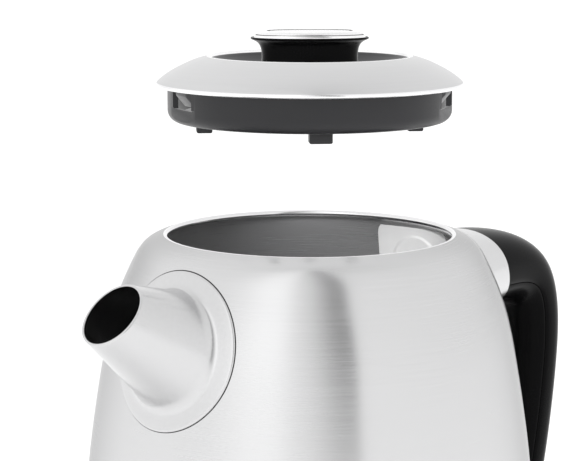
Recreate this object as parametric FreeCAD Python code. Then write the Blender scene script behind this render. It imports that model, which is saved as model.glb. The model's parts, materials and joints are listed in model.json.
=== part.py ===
import FreeCAD, Part
import math
import os
from FreeCAD import Vector

# Cordless electric kettle on a round power base.
# Millimetres. +Z is up, the origin is on the kettle's axis where the feet of the
# power base stand, the spout points along -X and the handle along +X.
# The pull-off lid is stored raised above the opening, ready to drop into its seat.

# ---------------------------------------------------------------- driving sizes
RIM_Z = 200.0             # plane of the filling opening
OPENING_R = 50.0          # radius inside the rolled lip
STEEL = 0.8               # sheet thickness of the vessel
LIP_BEAD_R = 1.2          # radius of the rolled lip
SHELL_FOOT_Z = 34.0       # lower edge of the steel vessel
WELD_Z = 140.0            # ground-flush weld between the vessel's wall and its shoulder

BASE_R = 80.0             # power base
BASE_TOP_Z = 18.0
BASE_WALL = 2.2
FOOT_DROP = 2.0           # the rubber feet stand this far below the base plate
HOLE_R = 24.3             # hole in the base's top for the coupler
CORD_INLET_R = 5.0        # bush in the base's wall for the supply cord
CORD_BORE_R = 3.5
CORD_Z = 9.6
BASE_PLATE_TOP_Z = 4.4
CORNERS = (45, 135, 225, 315)

KETTLE_FOOT_Z = 20.4      # underside of the kettle when it sits on its base
TOWER_OUT_R = 15.0        # round coupler on the base
TOWER_IN_R = 11.6
TOWER_TOP_Z = 31.0
POST_R = 5.4
POST_TOP_Z = 29.0
SLEEVE_OUT_R = 11.0       # round coupler on the kettle
SLEEVE_IN_R = 6.0
SOCKET_TOP_Z = 35.0
SOCKET_FLANGE_R = 17.6
WELL_R = 18.0             # well in the kettle's bottom around the coupler

ELEMENT_PLATE_Z = 50.0    # underside of the vessel's heated floor

SPOUT_X = -70.7           # centre of the spout's flange
SPOUT_Z = RIM_Z - 29.7
SPOUT_TILT = 5.5          # degrees, the flange's axis points up by this much
FLANGE_R = 26.3
FLANGE_PROUD = 0.6
MOUTH_X = -94.5
MOUTH_Z = RIM_Z - 13.6
MOUTH_TILT = 45.0
MOUTH_HALF_WIDTH = 10.8
MOUTH_HALF_HEIGHT = 12.0
SPOUT_WALL = 1.0
SPOUT_HOLE_R = 16.0

HANDLE_ROOT_X = 93.1      # end of the silver collar, where the black handle starts
HANDLE_ROOT_Z = RIM_Z - 23.5
HANDLE_WALL = 2.4

LEVER_PIVOT = Vector(70.0, 0, 28.5)
LEVER_PIN_R = 1.5
RUNNING_FIT = 0.05

LID_TURN = -132.7         # direction of the lid's front tab about +Z, degrees
LID_RIM_R = 53.6
LID_RIM_Z = RIM_Z + 54.25
RING_IN_R = 35.0
RING_IN_Z = RIM_Z + 63.8
RING_WALL = 0.9
SKIRT_R = 49.6
SKIRT_FOOT_Z = RIM_Z + 41.3
SKIRT_TOP_Z = RIM_Z + 56.0
SKIRT_WALL = 2.0
DISH_Z = RIM_Z + 58.0
KNOB_PLATE_Z = RIM_Z + 70.0
CLIP_ANGLE = 67.0         # the two catches, each side of the lid's front
CLIP_HALF_WIDTH = 4.0
WINDOW_HALF_WIDTH = 7.3
WINDOW_LOW_Z = RIM_Z + 46.9

# Outer profile of the vessel from the crest of the rim to the foot: (radius, height).
VESSEL_PROFILE = [
    (OPENING_R + LIP_BEAD_R, RIM_Z + 1.6),
    (55.0, RIM_Z + 0.3),
    (58.0, RIM_Z - 1.4),
    (60.2, RIM_Z - 3.8),
    (63.0, RIM_Z - 8.8),
    (67.0, RIM_Z - 17.7),
    (70.0, RIM_Z - 26.6),
    (73.1, RIM_Z - 41.0),
    (76.1, RIM_Z - 58.7),
    (79.0, RIM_Z - 80.4),
    (81.0, 93.0),
    (81.6, 68.0),
    (80.6, SHELL_FOOT_Z),
]

# Handle: centre line and half sizes of the grip, from the collar to the lower end.
# (x, z, direction in degrees above +X, half width, half thickness)
HANDLE_SECTIONS = [
    (HANDLE_ROOT_X, HANDLE_ROOT_Z, 11.5, 20.0, 15.7),
    (108.0, RIM_Z - 24.8, -12.0, 18.4, 14.2),
    (120.8, RIM_Z - 29.6, -38.0, 17.2, 13.0),
    (128.0, RIM_Z - 42.0, -68.0, 16.4, 12.2),
    (129.4, RIM_Z - 58.0, -88.0, 16.0, 11.8),
    (127.2, 118.0, -96.0, 15.6, 11.6),
    (122.6, 92.0, -102.0, 15.2, 11.4),
    (115.6, 68.0, -112.0, 14.8, 11.0),
    (105.0, 52.5, -138.0, 14.2, 10.2),
    (92.0, 45.8, -165.0, 13.6, 9.4),
    (76.0, 44.0, -178.0, 13.2, 9.0),
]


# ---------------------------------------------------------------- shape helpers
def spline(points):
    """Edge of a smooth curve through points."""
    curve = Part.BSplineCurve()
    curve.interpolate(Points=points)
    return curve.toShape()


def arc(a, b, c):
    return Part.Arc(a, b, c).toShape()


def chain(points):
    """Straight edges from point to point."""
    return [Part.makeLine(a, b) for a, b in zip(points, points[1:])]


def rz(radius, height):
    return Vector(radius, 0, height)


def turned(edges, start=0.0, sweep=360.0):
    """Solid of a closed outline in the XZ plane turned about Z from the start angle."""
    face = Part.Face(Part.Wire(Part.__sortEdges__(edges)))
    solid = face.revolve(Vector(0, 0, 0), Vector(0, 0, 1), sweep)
    solid.rotate(Vector(0, 0, 0), Vector(0, 0, 1), start)
    return solid


def turned_outline(points, start=90.0, sweep=360.0):
    """Turned solid of a straight-sided outline given as (radius, height) pairs."""
    corners = [rz(r, z) for r, z in points]
    return turned(chain(corners + corners[:1]), start, sweep)


def disc(radius, low, high, x=0.0, y=0.0):
    return Part.makeCylinder(radius, high - low, Vector(x, y, low))


def ring(outer, inner, low, high, x=0.0, y=0.0):
    return disc(outer, low, high, x, y).cut(disc(inner, low - 1, high + 1, x, y))


def block(low, high):
    size = Vector(*high) - Vector(*low)
    return Part.makeBox(size.x, size.y, size.z, Vector(*low))


def oval(centre, across, up, half_width, half_height, squareness=2.0, count=16):
    """Closed smooth outline; squareness above 2 fills out its corners."""
    points = []
    for i in range(count):
        t = 2 * math.pi * i / count
        c = math.copysign(abs(math.cos(t)) ** (2 / squareness), math.cos(t))
        s = math.copysign(abs(math.sin(t)) ** (2 / squareness), math.sin(t))
        points.append(centre + across * (half_width * c) + up * (half_height * s))
    curve = Part.BSplineCurve()
    curve.interpolate(Points=points, PeriodicFlag=True)
    return Part.Wire(curve.toShape())


def loft(wires):
    return Part.makeLoft(wires, True, False)


def around(shape, angle):
    """Copy of a shape turned about the kettle's axis."""
    copy = shape.copy()
    copy.rotate(Vector(0, 0, 0), Vector(0, 0, 1), angle)
    return copy


def group(shapes):
    return Part.makeCompound(shapes)


def screw(radius, head_radius, length, x, y, head_z, head_up):
    """Pan-head screw standing on Z; the head is above the shank if head_up."""
    sign = -1 if head_up else 1
    shank = Part.makeCylinder(radius, length, Vector(x, y, head_z), Vector(0, 0, sign))
    head = Part.makeCylinder(head_radius, 1.6, Vector(x, y, head_z), Vector(0, 0, -sign))
    slot_z = head_z - sign * 1.6
    slot = block((x - head_radius, y - 0.4, slot_z - 0.6), (x + head_radius, y + 0.4, slot_z + 0.6))
    return shank.fuse(head).cut(slot)


# ---------------------------------------------------------------- vessel
def vessel_curve_points(offset):
    """Points of the vessel's outer profile moved inwards by offset."""
    curve = Part.BSplineCurve()
    curve.interpolate(Points=[rz(r, z) for r, z in VESSEL_PROFILE])
    moved = []
    for r, z in VESSEL_PROFILE:
        tangent = curve.tangent(curve.parameter(rz(r, z)))[0]
        moved.append(rz(r, z) + Vector(tangent.z, 0, -tangent.x) * offset)
    return moved


def vessel_body(offset):
    """Solid bounded by the vessel's outer surface moved inwards by offset."""
    points = vessel_curve_points(offset)
    side = spline(points)
    top = rz(0, points[0].z)
    foot = rz(0, points[-1].z)
    return turned([side] + chain([points[-1], foot, top, points[0]]), 90.0)


def vessel_shell():
    """Steel sheet from foot to filling opening, with a rolled lip at the opening."""
    outer = vessel_curve_points(0.0)
    inner = vessel_curve_points(STEEL)[1:]
    bead = rz(OPENING_R + LIP_BEAD_R, RIM_Z + 1.6 - LIP_BEAD_R)
    bead_in = bead + rz(-LIP_BEAD_R, 0)
    bead_low = bead + rz(0, -LIP_BEAD_R)
    edges = [
        spline(outer),
        spline(inner),
        arc(outer[0], bead_in, bead_low),
        Part.makeLine(bead_low, inner[0]),
        Part.makeLine(outer[-1], inner[-1]),
    ]
    return turned(edges, 90.0)


SOLID_VESSEL = vessel_body(0.0)
VESSEL_SPACE = vessel_body(STEEL)


# ---------------------------------------------------------------- spout
def spout_axis():
    tilt = math.radians(SPOUT_TILT)
    return Vector(-math.cos(tilt), 0, math.sin(tilt))


def spout_cone(inset):
    """Cone of the spout from inside the vessel to past the mouth, shrunk by inset."""
    def station(x, z, tilt, half_width, half_height):
        lean = math.radians(tilt)
        up = Vector(math.sin(lean), 0, math.cos(lean))
        centre = Vector(x, 0, z)
        return oval(centre, Vector(0, 1, 0), up, half_width - inset, half_height - inset)

    wires = [
        station(-60.0, RIM_Z - 34.0, 20.5, 22.6, 23.0),
        station(MOUTH_X, MOUTH_Z, MOUTH_TILT, MOUTH_HALF_WIDTH, MOUTH_HALF_HEIGHT),
    ]
    return Part.makeLoft(wires, True, True)


def spout():
    start = Vector(SPOUT_X, 0, SPOUT_Z) - spout_axis() * 50
    plug = Part.makeCylinder(FLANGE_R, 80, start, spout_axis())
    flange = vessel_body(-FLANGE_PROUD).common(plug)
    cone = spout_cone(0.0)
    return flange.fuse(cone).cut(SOLID_VESSEL).cut(spout_cone(SPOUT_WALL)).removeSplitter()


def spout_hole():
    start = Vector(SPOUT_X, 0, SPOUT_Z) - spout_axis() * 30
    return Part.makeCylinder(SPOUT_HOLE_R, 60, start, spout_axis())


# The strainer stands just inside the wall behind the spout and leans with it.
STRAINER_X = -66.2
STRAINER_R = 18.0
STRAINER_LEAN = 15.5


def strainer_disc(radius, start, thickness):
    lean = math.radians(STRAINER_LEAN)
    axis = Vector(math.cos(lean), 0, -math.sin(lean))
    centre = Vector(STRAINER_X, 0, SPOUT_Z) + axis * start
    return Part.makeCylinder(radius, thickness, centre, axis)


def strainer_frame():
    hoop = strainer_disc(STRAINER_R, 0, 2.0).cut(strainer_disc(STRAINER_R - 2.5, -1, 5))
    cross_z = block((-80, -0.9, SPOUT_Z - STRAINER_R + 1), (-50, 0.9, SPOUT_Z + STRAINER_R - 1))
    cross_y = block((-80, -STRAINER_R + 1, SPOUT_Z - 0.9), (-50, STRAINER_R - 1, SPOUT_Z + 0.9))
    bars = cross_z.fuse(cross_y).common(strainer_disc(STRAINER_R - 1, 0, 1.0))
    return hoop.fuse(bars).removeSplitter()


def strainer_mesh():
    return strainer_disc(STRAINER_R - 2.5, 1.1, 0.4)


# ---------------------------------------------------------------- steam path
PANEL_HALF_ANGLE = 15.9
PANEL_TOP_Z = RIM_Z - 3.6
PANEL_FOOT_Z = 150.0
PANEL_WALL = 1.5
STEAM_TUBE_X = 67.0
STEAM_TUBE_R = 4.5
STEAM_TUBE_WALL = 1.0


def steam_cover():
    """White cover on the back wall that leads steam into the tube behind it."""
    front = [(59.0, PANEL_TOP_Z + 2), (62.2, RIM_Z - 19), (61.5, PANEL_FOOT_Z)]
    body = turned_outline(front + [(80, PANEL_FOOT_Z), (80, PANEL_TOP_Z + 2)],
                          -PANEL_HALF_ANGLE, 2 * PANEL_HALF_ANGLE)
    hollow = [(r + PANEL_WALL, z) for r, z in front[:2]]
    hollow.append((61.5 + PANEL_WALL, PANEL_FOOT_Z + PANEL_WALL))
    inset = PANEL_HALF_ANGLE - 1.6
    pocket = turned_outline(hollow + [(81, PANEL_FOOT_Z + PANEL_WALL), (81, PANEL_TOP_Z + 2)],
                            -inset, 2 * inset)
    arch = Part.makeCylinder(11.0, 30, Vector(40, 0, RIM_Z - 18.6), Vector(1, 0, 0))
    raised = turned_outline([(58.4, PANEL_TOP_Z + 2), (61.6, RIM_Z - 19), (62.4, RIM_Z - 19),
                             (59.8, PANEL_TOP_Z + 2)], -PANEL_HALF_ANGLE, 2 * PANEL_HALF_ANGLE)
    above = block((40, -20, RIM_Z - 18.6), (80, 20, RIM_Z))
    boss = raised.common(arch).common(above)
    shell = body.cut(pocket).fuse(boss)
    tube_hole = disc(STEAM_TUBE_R, PANEL_FOOT_Z - 5, PANEL_FOOT_Z + 5, STEAM_TUBE_X)
    return shell.common(VESSEL_SPACE).cut(tube_hole).removeSplitter()


def steam_tube():
    return ring(STEAM_TUBE_R, STEAM_TUBE_R - STEAM_TUBE_WALL, 40.0, PANEL_FOOT_Z + 3, STEAM_TUBE_X)


# ---------------------------------------------------------------- heater and control
def element_plate():
    plate = turned_outline([(0, ELEMENT_PLATE_Z), (76, ELEMENT_PLATE_Z), (76, ELEMENT_PLATE_Z + 10),
                            (75, ELEMENT_PLATE_Z + 10), (75, ELEMENT_PLATE_Z + 1),
                            (0, ELEMENT_PLATE_Z + 1)])
    return plate.cut(disc(STEAM_TUBE_R, 40, 60, STEAM_TUBE_X))


def element_seal():
    return ring(90, 76, ELEMENT_PLATE_Z + 1.5, ELEMENT_PLATE_Z + 8).common(VESSEL_SPACE)


def heat_diffuser():
    return disc(58, ELEMENT_PLATE_Z - 3.5, ELEMENT_PLATE_Z)


ELEMENT_R = 48.0
ELEMENT_TUBE_R = 3.4


def heating_element():
    """Sheathed element bent round under the diffuser, with a cold pin at each end."""
    centre_z = ELEMENT_PLATE_Z - 3.5 - ELEMENT_TUBE_R
    section = Part.Face(Part.Wire(Part.makeCircle(ELEMENT_TUBE_R, Vector(ELEMENT_R, 0, centre_z),
                                                  Vector(0, 1, 0))))
    gap = 28.0
    bend = section.revolve(Vector(0, 0, 0), Vector(0, 0, 1), 360 - 2 * gap)
    bend.rotate(Vector(0, 0, 0), Vector(0, 0, 1), gap)
    pins = []
    for side in (gap, -gap):
        pin = Part.makeCylinder(1.4, 5, Vector(ELEMENT_R, 0, centre_z), Vector(0, -math.copysign(1, side), 0))
        pins.append(around(pin, side))
    return bend.fuse(pins)


CONTROL_R = 33.0
BIMETAL_PLACES = ((-16.0, 14.0), (-16.0, -14.0))


def control_unit():
    body = disc(CONTROL_R, SOCKET_TOP_Z + 0.4, ELEMENT_PLATE_Z - 3.6)
    body = body.cut(block((22, -40, 30), (40, 40, 60)))
    for x, y in BIMETAL_PLACES:
        body = body.cut(disc(9.6, ELEMENT_PLATE_Z - 5.0, ELEMENT_PLATE_Z, x, y))
    return body


def bimetal_discs():
    return group([disc(9.2, ELEMENT_PLATE_Z - 5.0, ELEMENT_PLATE_Z - 4.4, x, y)
                  for x, y in BIMETAL_PLACES])


# ---------------------------------------------------------------- kettle bottom
def base_ring():
    """Black plastic band below the steel, with a collar that stands inside it."""
    band = turned_outline([(77.4, KETTLE_FOOT_Z + 1.2), (78.4, KETTLE_FOOT_Z), (79.6, KETTLE_FOOT_Z + 1.0),
                           (80.5, KETTLE_FOOT_Z + 3.5), (80.6, SHELL_FOOT_Z), (79.4, SHELL_FOOT_Z),
                           (79.4, SHELL_FOOT_Z + 6), (77.2, SHELL_FOOT_Z + 6),
                           (77.2, KETTLE_FOOT_Z + 1.2)])
    return band.cut(block((70, -9.0, 23.2), (90, 9.0, 32.4)))


def bottom_cover():
    floor_z = KETTLE_FOOT_Z + 1.2
    plate = turned_outline([(WELL_R, floor_z), (77.2, floor_z), (77.2, floor_z + 2.2), (WELL_R + 2, floor_z + 2.2),
                            (WELL_R + 2, SOCKET_TOP_Z - 0.6), (WELL_R, SOCKET_TOP_Z - 0.6)])
    bosses = []
    for angle in (60, 180, 300):
        boss = disc(4.0, floor_z + 1, ELEMENT_PLATE_Z - 14, 62, 0)
        bosses.append(around(boss, angle))
    lugs = []
    for side in (1, -1):
        low, high = sorted((10.0 * side, 13.0 * side))
        lugs.append(block((LEVER_PIVOT.x - 4, low, floor_z + 1), (LEVER_PIVOT.x + 4, high, LEVER_PIVOT.z + 4)))
    pin_hole = Part.makeCylinder(LEVER_PIN_R, 60, LEVER_PIVOT - Vector(0, 30, 0), Vector(0, 1, 0))
    plate = plate.fuse(bosses + lugs).cut(pin_hole)
    for angle in (60, 180, 300):
        plate = plate.cut(around(disc(1.5, 10, 60, 62, 0), angle))
        plate = plate.cut(around(disc(3.2, 10, floor_z + 1.0, 62, 0), angle))
    return plate.removeSplitter()


def bottom_screws():
    one = screw(1.5, 2.9, 12, 62, 0, KETTLE_FOOT_Z + 2.2, False)
    return group([around(one, angle) for angle in (60, 180, 300)])


# ---------------------------------------------------------------- round coupler
def socket_sleeve():
    """Kettle half of the coupler: it turns freely round the tower on the base."""
    body = disc(SLEEVE_OUT_R, 20.6, SOCKET_TOP_Z).fuse(disc(SOCKET_FLANGE_R, TOWER_TOP_Z + 0.8, SOCKET_TOP_Z))
    body = body.cut(disc(SLEEVE_IN_R, 10, POST_TOP_Z + 1.0))
    return body.cut(disc(3.4, 20, 60)).removeSplitter()


def socket_contacts():
    return group([ring(3.4, 2.0, 31.0, SOCKET_TOP_Z)])


def base_connector():
    """Base half of the coupler: flange, tower and centre post round the groove."""
    flange = disc(24, 13.0, 16.0).fuse(disc(17, BASE_PLATE_TOP_Z, 13.5))
    tower = ring(TOWER_OUT_R, TOWER_IN_R, 15.0, TOWER_TOP_Z)
    post = disc(POST_R, 15.0, POST_TOP_Z)
    return flange.fuse([tower, post]).cut(disc(1.4, 20, 60)).removeSplitter()


def base_contacts():
    pin = disc(1.4, 20, POST_TOP_Z + 4.0)
    groove_ring = ring(10.4, 7.2, 16.0, 17.2)
    return group([pin, groove_ring])


# ---------------------------------------------------------------- power base
def base_top():
    """Top shell of the power base, rounded over at its edge."""
    rim_in = BASE_R - BASE_WALL
    top_in = BASE_TOP_Z - BASE_WALL
    bend = 7.0
    bend_in = bend - BASE_WALL
    cut = 1 - math.sqrt(0.5)
    edges = [arc(rz(BASE_R, BASE_TOP_Z - bend), rz(BASE_R - bend * cut, BASE_TOP_Z - bend * cut),
                 rz(BASE_R - bend, BASE_TOP_Z)),
             arc(rz(rim_in, top_in - bend_in), rz(rim_in - bend_in * cut, top_in - bend_in * cut),
                 rz(rim_in - bend_in, top_in))]
    edges += chain([rz(BASE_R - bend, BASE_TOP_Z), rz(HOLE_R, BASE_TOP_Z), rz(HOLE_R, top_in),
                    rz(rim_in - bend_in, top_in)])
    edges += chain([rz(rim_in, top_in - bend_in), rz(rim_in, 4), rz(BASE_R, 4), rz(BASE_R, BASE_TOP_Z - bend)])
    shell = turned(edges, 90.0)
    bosses = [around(disc(4.0, 4.6, BASE_TOP_Z - 1, 56, 0), angle) for angle in CORNERS]
    shell = shell.fuse(bosses)
    for angle in CORNERS:
        shell = shell.cut(around(disc(1.5, 0, BASE_TOP_Z - 4, 56, 0), angle))
    return shell.cut(cord_bore(CORD_INLET_R)).removeSplitter()


def cord_bore(radius):
    return Part.makeCylinder(radius, 24, Vector(0, BASE_R - 12, CORD_Z), Vector(0, 1, 0))


def cord_inlet():
    """Flanged bush in the base's wall for the supply cord."""
    start = Vector(0, BASE_R - 7, CORD_Z)
    bush = Part.makeCylinder(CORD_INLET_R, 9, start, Vector(0, 1, 0))
    head = Part.makeCylinder(CORD_INLET_R + 0.6, 2, start, Vector(0, 1, 0))
    below = block((-20, 0, 0), (20, 90, BASE_PLATE_TOP_Z + 0.05))
    return bush.fuse(head).cut(cord_bore(CORD_BORE_R)).cut(below)


def base_plate():
    """Bottom of the power base, set inside the top shell and lipped under its wall."""
    lip_in_r = BASE_R - BASE_WALL - 0.1
    plate = disc(BASE_R, FOOT_DROP, 4.0).fuse(disc(lip_in_r, FOOT_DROP, BASE_PLATE_TOP_Z))
    for angle in CORNERS:
        plate = plate.cut(around(disc(1.5, 0, 10, 56, 0), angle))
        plate = plate.cut(around(disc(3.2, 0, 3.7, 56, 0), angle))
        plate = plate.cut(around(disc(6.0, 0, 3.0, 68, 0), angle))
    return plate.removeSplitter()


def base_feet():
    return group([around(disc(6.0, 0, 3.0, 68, 0), angle) for angle in CORNERS])


def base_screws():
    one = screw(1.5, 2.9, 9, 56, 0, 3.7, False)
    return group([around(one, angle) for angle in CORNERS])


def terminal_block():
    return block((-12, 34, BASE_PLATE_TOP_Z), (12, 46, 12.0))


# ---------------------------------------------------------------- handle
def handle_wires(inset, sections):
    wires = []
    for x, z, direction, half_width, half_thickness in sections:
        lean = math.radians(direction)
        outward = Vector(-math.sin(lean), 0, math.cos(lean))
        wires.append(oval(Vector(x, 0, z), Vector(0, 1, 0), outward, half_width - inset,
                          half_thickness - inset, 2.25))
    return wires


def handle_split():
    """Everything on the inner side of the line where the two handle halves meet."""
    points = []
    for x, z, direction, half_width, half_thickness in HANDLE_SECTIONS:
        lean = math.radians(direction)
        outward = Vector(-math.sin(lean), 0, math.cos(lean))
        points.append(Vector(x, 0, z) - outward * (0.30 * half_thickness))
    first = points[0] - Vector(20, 0, 4)
    curve = spline([first] + points)
    low = points[-1]
    edges = [curve] + chain([low, Vector(60, 0, low.z), Vector(60, 0, first.z), first])
    face = Part.Face(Part.Wire(Part.__sortEdges__(edges)))
    face.translate(Vector(0, -40, 0))
    return face.extrude(Vector(0, 80, 0))


SCREW_STATIONS = (4, 6)


def grip_cylinder(station, radius, start, finish):
    """Cylinder across the grip; start and finish are heights outwards of its centre line."""
    x, z, direction = HANDLE_SECTIONS[station][:3]
    lean = math.radians(direction)
    outward = Vector(-math.sin(lean), 0, math.cos(lean))
    return Part.makeCylinder(radius, finish - start, Vector(x, 0, z) + outward * start, outward)


def handle_halves():
    """The two shells of the grip, with a screw boss at each fastening."""
    whole = loft(handle_wires(0.0, HANDLE_SECTIONS)).cut(SOLID_VESSEL)
    room = loft(handle_wires(HANDLE_WALL, HANDLE_SECTIONS[1:-2]))
    for station in SCREW_STATIONS:
        room = room.cut(grip_cylinder(station, 4.5, -12, 12))
    walls = whole.cut(room)
    for station in SCREW_STATIONS:
        walls = walls.cut(grip_cylinder(station, 1.6, -20, 4))
        walls = walls.cut(grip_cylinder(station, 3.2, -20, -9.6))
    inner_side = handle_split()
    return walls.cut(inner_side), walls.common(inner_side)


def handle_screws():
    screws = []
    for station in SCREW_STATIONS:
        shank = grip_cylinder(station, 1.6, -9.6, 4)
        screws.append(shank.fuse(grip_cylinder(station, 3.0, -11.0, -9.6)).removeSplitter())
    return group(screws)


def handle_collar():
    """Silver neck between the shoulder of the vessel and the black handle."""
    lean = math.radians(11.5)
    up_root = Vector(-math.sin(lean), 0, math.cos(lean))

    def wires(inset):
        return [
            oval(Vector(60, 0, RIM_Z - 28.5), Vector(0, 1, 0), Vector(0, 0, 1), 25 - inset, 22.5 - inset, 2.25),
            oval(Vector(76, 0, RIM_Z - 25.5), Vector(0, 1, 0), Vector(0, 0, 1), 22 - inset, 18.3 - inset, 2.25),
            oval(Vector(HANDLE_ROOT_X, 0, HANDLE_ROOT_Z), Vector(0, 1, 0), up_root, 20 - inset, 15.7 - inset, 2.25),
        ]

    return loft(wires(0.0)).cut(SOLID_VESSEL).cut(loft(wires(1.6)))


BRACKET_Z = RIM_Z - 25.0


def handle_bracket():
    """Steel tongue welded to the vessel inside the collar; the handle plugs onto it."""
    return block((66, -9, BRACKET_Z - 5), (HANDLE_ROOT_X - 1.4, 9, BRACKET_Z + 5)).cut(SOLID_VESSEL)


# ---------------------------------------------------------------- switch lever
def lever():
    """Rocker below the handle; pressing it down switches the kettle on."""
    arm = block((62, -5.5, 26.6), (92, 5.5, 30.4))
    hub = Part.makeCylinder(3.4, 17, LEVER_PIVOT - Vector(0, 8.5, 0), Vector(0, 1, 0))
    pad = loft([
        oval(Vector(84, 0, 28.4), Vector(0, 1, 0), Vector(0, 0, 1), 7.6, 1.9, 3.0),
        oval(Vector(94, 0, 28.8), Vector(0, 1, 0), Vector(0, 0, 1), 8.2, 2.3, 3.0),
        oval(Vector(103, 0, 29.4), Vector(0, 1, 0), Vector(0, 0, 1), 7.4, 2.0, 3.0),
    ])
    bore = Part.makeCylinder(LEVER_PIN_R + RUNNING_FIT, 60, LEVER_PIVOT - Vector(0, 30, 0), Vector(0, 1, 0))
    body = arm.fuse([hub, pad]).cut(bore)
    return body.cut(lever_lens_space()).removeSplitter()


def lever_lens_space():
    return block((88, -4.0, 30.0), (97, 4.0, 34))


def lever_lens():
    return block((88, -4.0, 30.0), (97, 4.0, 31.4))


def lever_pin():
    return Part.makeCylinder(LEVER_PIN_R, 26, LEVER_PIVOT - Vector(0, 13, 0), Vector(0, 1, 0))


# ---------------------------------------------------------------- lid
def lid_ring():
    """Polished steel ring of the lid, domed and hemmed at its rim."""
    dome = [rz(RING_IN_R, RING_IN_Z), rz(40.8, RIM_Z + 62.3), rz(45.3, RIM_Z + 60.3),
            rz(50.9, RIM_Z + 57.0), rz(53.1, RIM_Z + 55.2)]
    under = [rz(RING_IN_R, RING_IN_Z - RING_WALL), rz(40.4, RIM_Z + 61.3), rz(44.8, RIM_Z + 59.4),
             rz(50.2, RIM_Z + 56.2), rz(51.4, RIM_Z + 55.3)]
    low = rz(52.7, RIM_Z + 53.5)
    edges = [spline(dome), spline(under), Part.makeLine(dome[0], under[0]),
             arc(dome[-1], rz(LID_RIM_R, LID_RIM_Z), low), Part.makeLine(low, under[-1])]
    return turned(edges, 90.0)


def clip_window(side):
    """Space of a catch's window, and of the flat below it, at one side of the lid."""
    window = block((40, -WINDOW_HALF_WIDTH, WINDOW_LOW_Z), (60, WINDOW_HALF_WIDTH, RIM_Z + 53.3))
    flat = block((48.7, -12, SKIRT_FOOT_Z - 1), (60, 12, WINDOW_LOW_Z))
    return around(window.fuse(flat), LID_TURN + side * CLIP_ANGLE)


def lid_skirt():
    """Dark plug that enters the opening, with a window for each sprung catch."""
    corner = 4.0
    in_r = SKIRT_R - SKIRT_WALL
    start = rz(SKIRT_R, SKIRT_FOOT_Z + corner)
    mid = rz(SKIRT_R - corner * (1 - math.sqrt(0.5)), SKIRT_FOOT_Z + corner * (1 - math.sqrt(0.5)))
    foot = rz(SKIRT_R - corner, SKIRT_FOOT_Z)
    edges = [arc(start, mid, foot)]
    edges += chain([foot, rz(42.6, SKIRT_FOOT_Z), rz(42.6, SKIRT_FOOT_Z + 2), rz(in_r - 2.5, SKIRT_FOOT_Z + 2),
                    rz(in_r, SKIRT_FOOT_Z + 4.5), rz(in_r, SKIRT_TOP_Z), rz(SKIRT_R, SKIRT_TOP_Z), start])
    skirt = turned(edges, 90.0)
    for side in (1, -1):
        skirt = skirt.cut(clip_window(side))
    return skirt.removeSplitter()


LID_SCREW_R = 26.0


def lid_bottom():
    """Inner cover of the lid with the four tabs that it stands on."""
    plate = disc(42.5, SKIRT_FOOT_Z + 0.2, SKIRT_FOOT_Z + 2.2)
    plate = plate.fuse(disc(44.8, SKIRT_FOOT_Z + 2.0, SKIRT_FOOT_Z + 2.8))
    tabs = []
    for angle in (0, 90, 180, 270):
        tab = block((34.2, -4.4, SKIRT_FOOT_Z - 4.0), (39.7, 4.4, SKIRT_FOOT_Z + 1.0))
        tabs.append(around(tab, LID_TURN + angle))
    plate = plate.fuse(tabs)
    for angle in CORNERS:
        plate = plate.cut(around(disc(1.3, 200, 300, LID_SCREW_R, 0), LID_TURN + angle))
    return plate.removeSplitter()


def lid_dish():
    """Dark dish inside the ring; the knob stands in its middle."""
    edge_r = RING_IN_R - 0.3
    top = [rz(21, DISH_Z), rz(26, DISH_Z + 0.6), rz(31, DISH_Z + 2.4), rz(edge_r, RING_IN_Z - 0.6)]
    low = [rz(21, DISH_Z - 2), rz(26.4, DISH_Z - 1.4), rz(31.6, DISH_Z + 0.2), rz(edge_r, RING_IN_Z - 3.4)]
    edges = [spline(top), spline(low), Part.makeLine(top[-1], low[-1])]
    edges += chain([low[0], rz(0, DISH_Z - 2), rz(0, DISH_Z), top[0]])
    dish = turned(edges, 90.0)
    bosses = []
    for angle in CORNERS:
        boss = disc(3.4, SKIRT_FOOT_Z + 2.8, DISH_Z - 1.0, LID_SCREW_R, 0)
        bosses.append(around(boss, LID_TURN + angle))
    dish = dish.fuse(bosses)
    for angle in CORNERS:
        dish = dish.cut(around(disc(1.3, 200, DISH_Z - 3, LID_SCREW_R, 0), LID_TURN + angle))
    return dish.cut(disc(1.9, 200, 300)).removeSplitter()


def lid_screws():
    one = screw(1.3, 2.6, 12, LID_SCREW_R, 0, SKIRT_FOOT_Z + 0.2, False)
    return group([around(one, LID_TURN + angle) for angle in CORNERS])


def lid_oval(half_length, half_width, z):
    """Oblong outline across the lid at one height."""
    turn = math.radians(LID_TURN + 90)
    along = Vector(math.cos(turn), math.sin(turn), 0)
    across = Vector(-math.sin(turn), math.cos(turn), 0)
    return oval(Vector(0, 0, z), along, across, half_length, half_width, 2.3)


def knob_body():
    neck = loft([lid_oval(17.2, 10.0, DISH_Z), lid_oval(17.0, 9.8, DISH_Z + 4),
                 lid_oval(17.4, 10.2, DISH_Z + 7.5), lid_oval(18.7, 11.2, DISH_Z + 10),
                 lid_oval(20.4, 12.4, KNOB_PLATE_Z - 0.5)])
    plate = loft([lid_oval(20.4, 12.4, KNOB_PLATE_Z - 0.5), lid_oval(20.6, 12.6, KNOB_PLATE_Z + 0.3)])
    return neck.fuse(plate).cut(disc(1.5, 200, KNOB_PLATE_Z - 3)).removeSplitter()


def knob_insert():
    """Silver pad on the knob, raised like a pillow with a shallow oval recess."""
    base_z = KNOB_PLATE_Z + 0.3
    pad = loft([lid_oval(19.4, 11.4, base_z), lid_oval(18.9, 11.0, base_z + 0.9),
                lid_oval(17.4, 9.8, base_z + 1.8), lid_oval(16.0, 8.8, base_z + 2.2)])
    recess = loft([lid_oval(12.5, 6.2, base_z + 1.7), lid_oval(14.0, 7.4, base_z + 2.3)])
    return pad.cut(recess)


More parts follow.
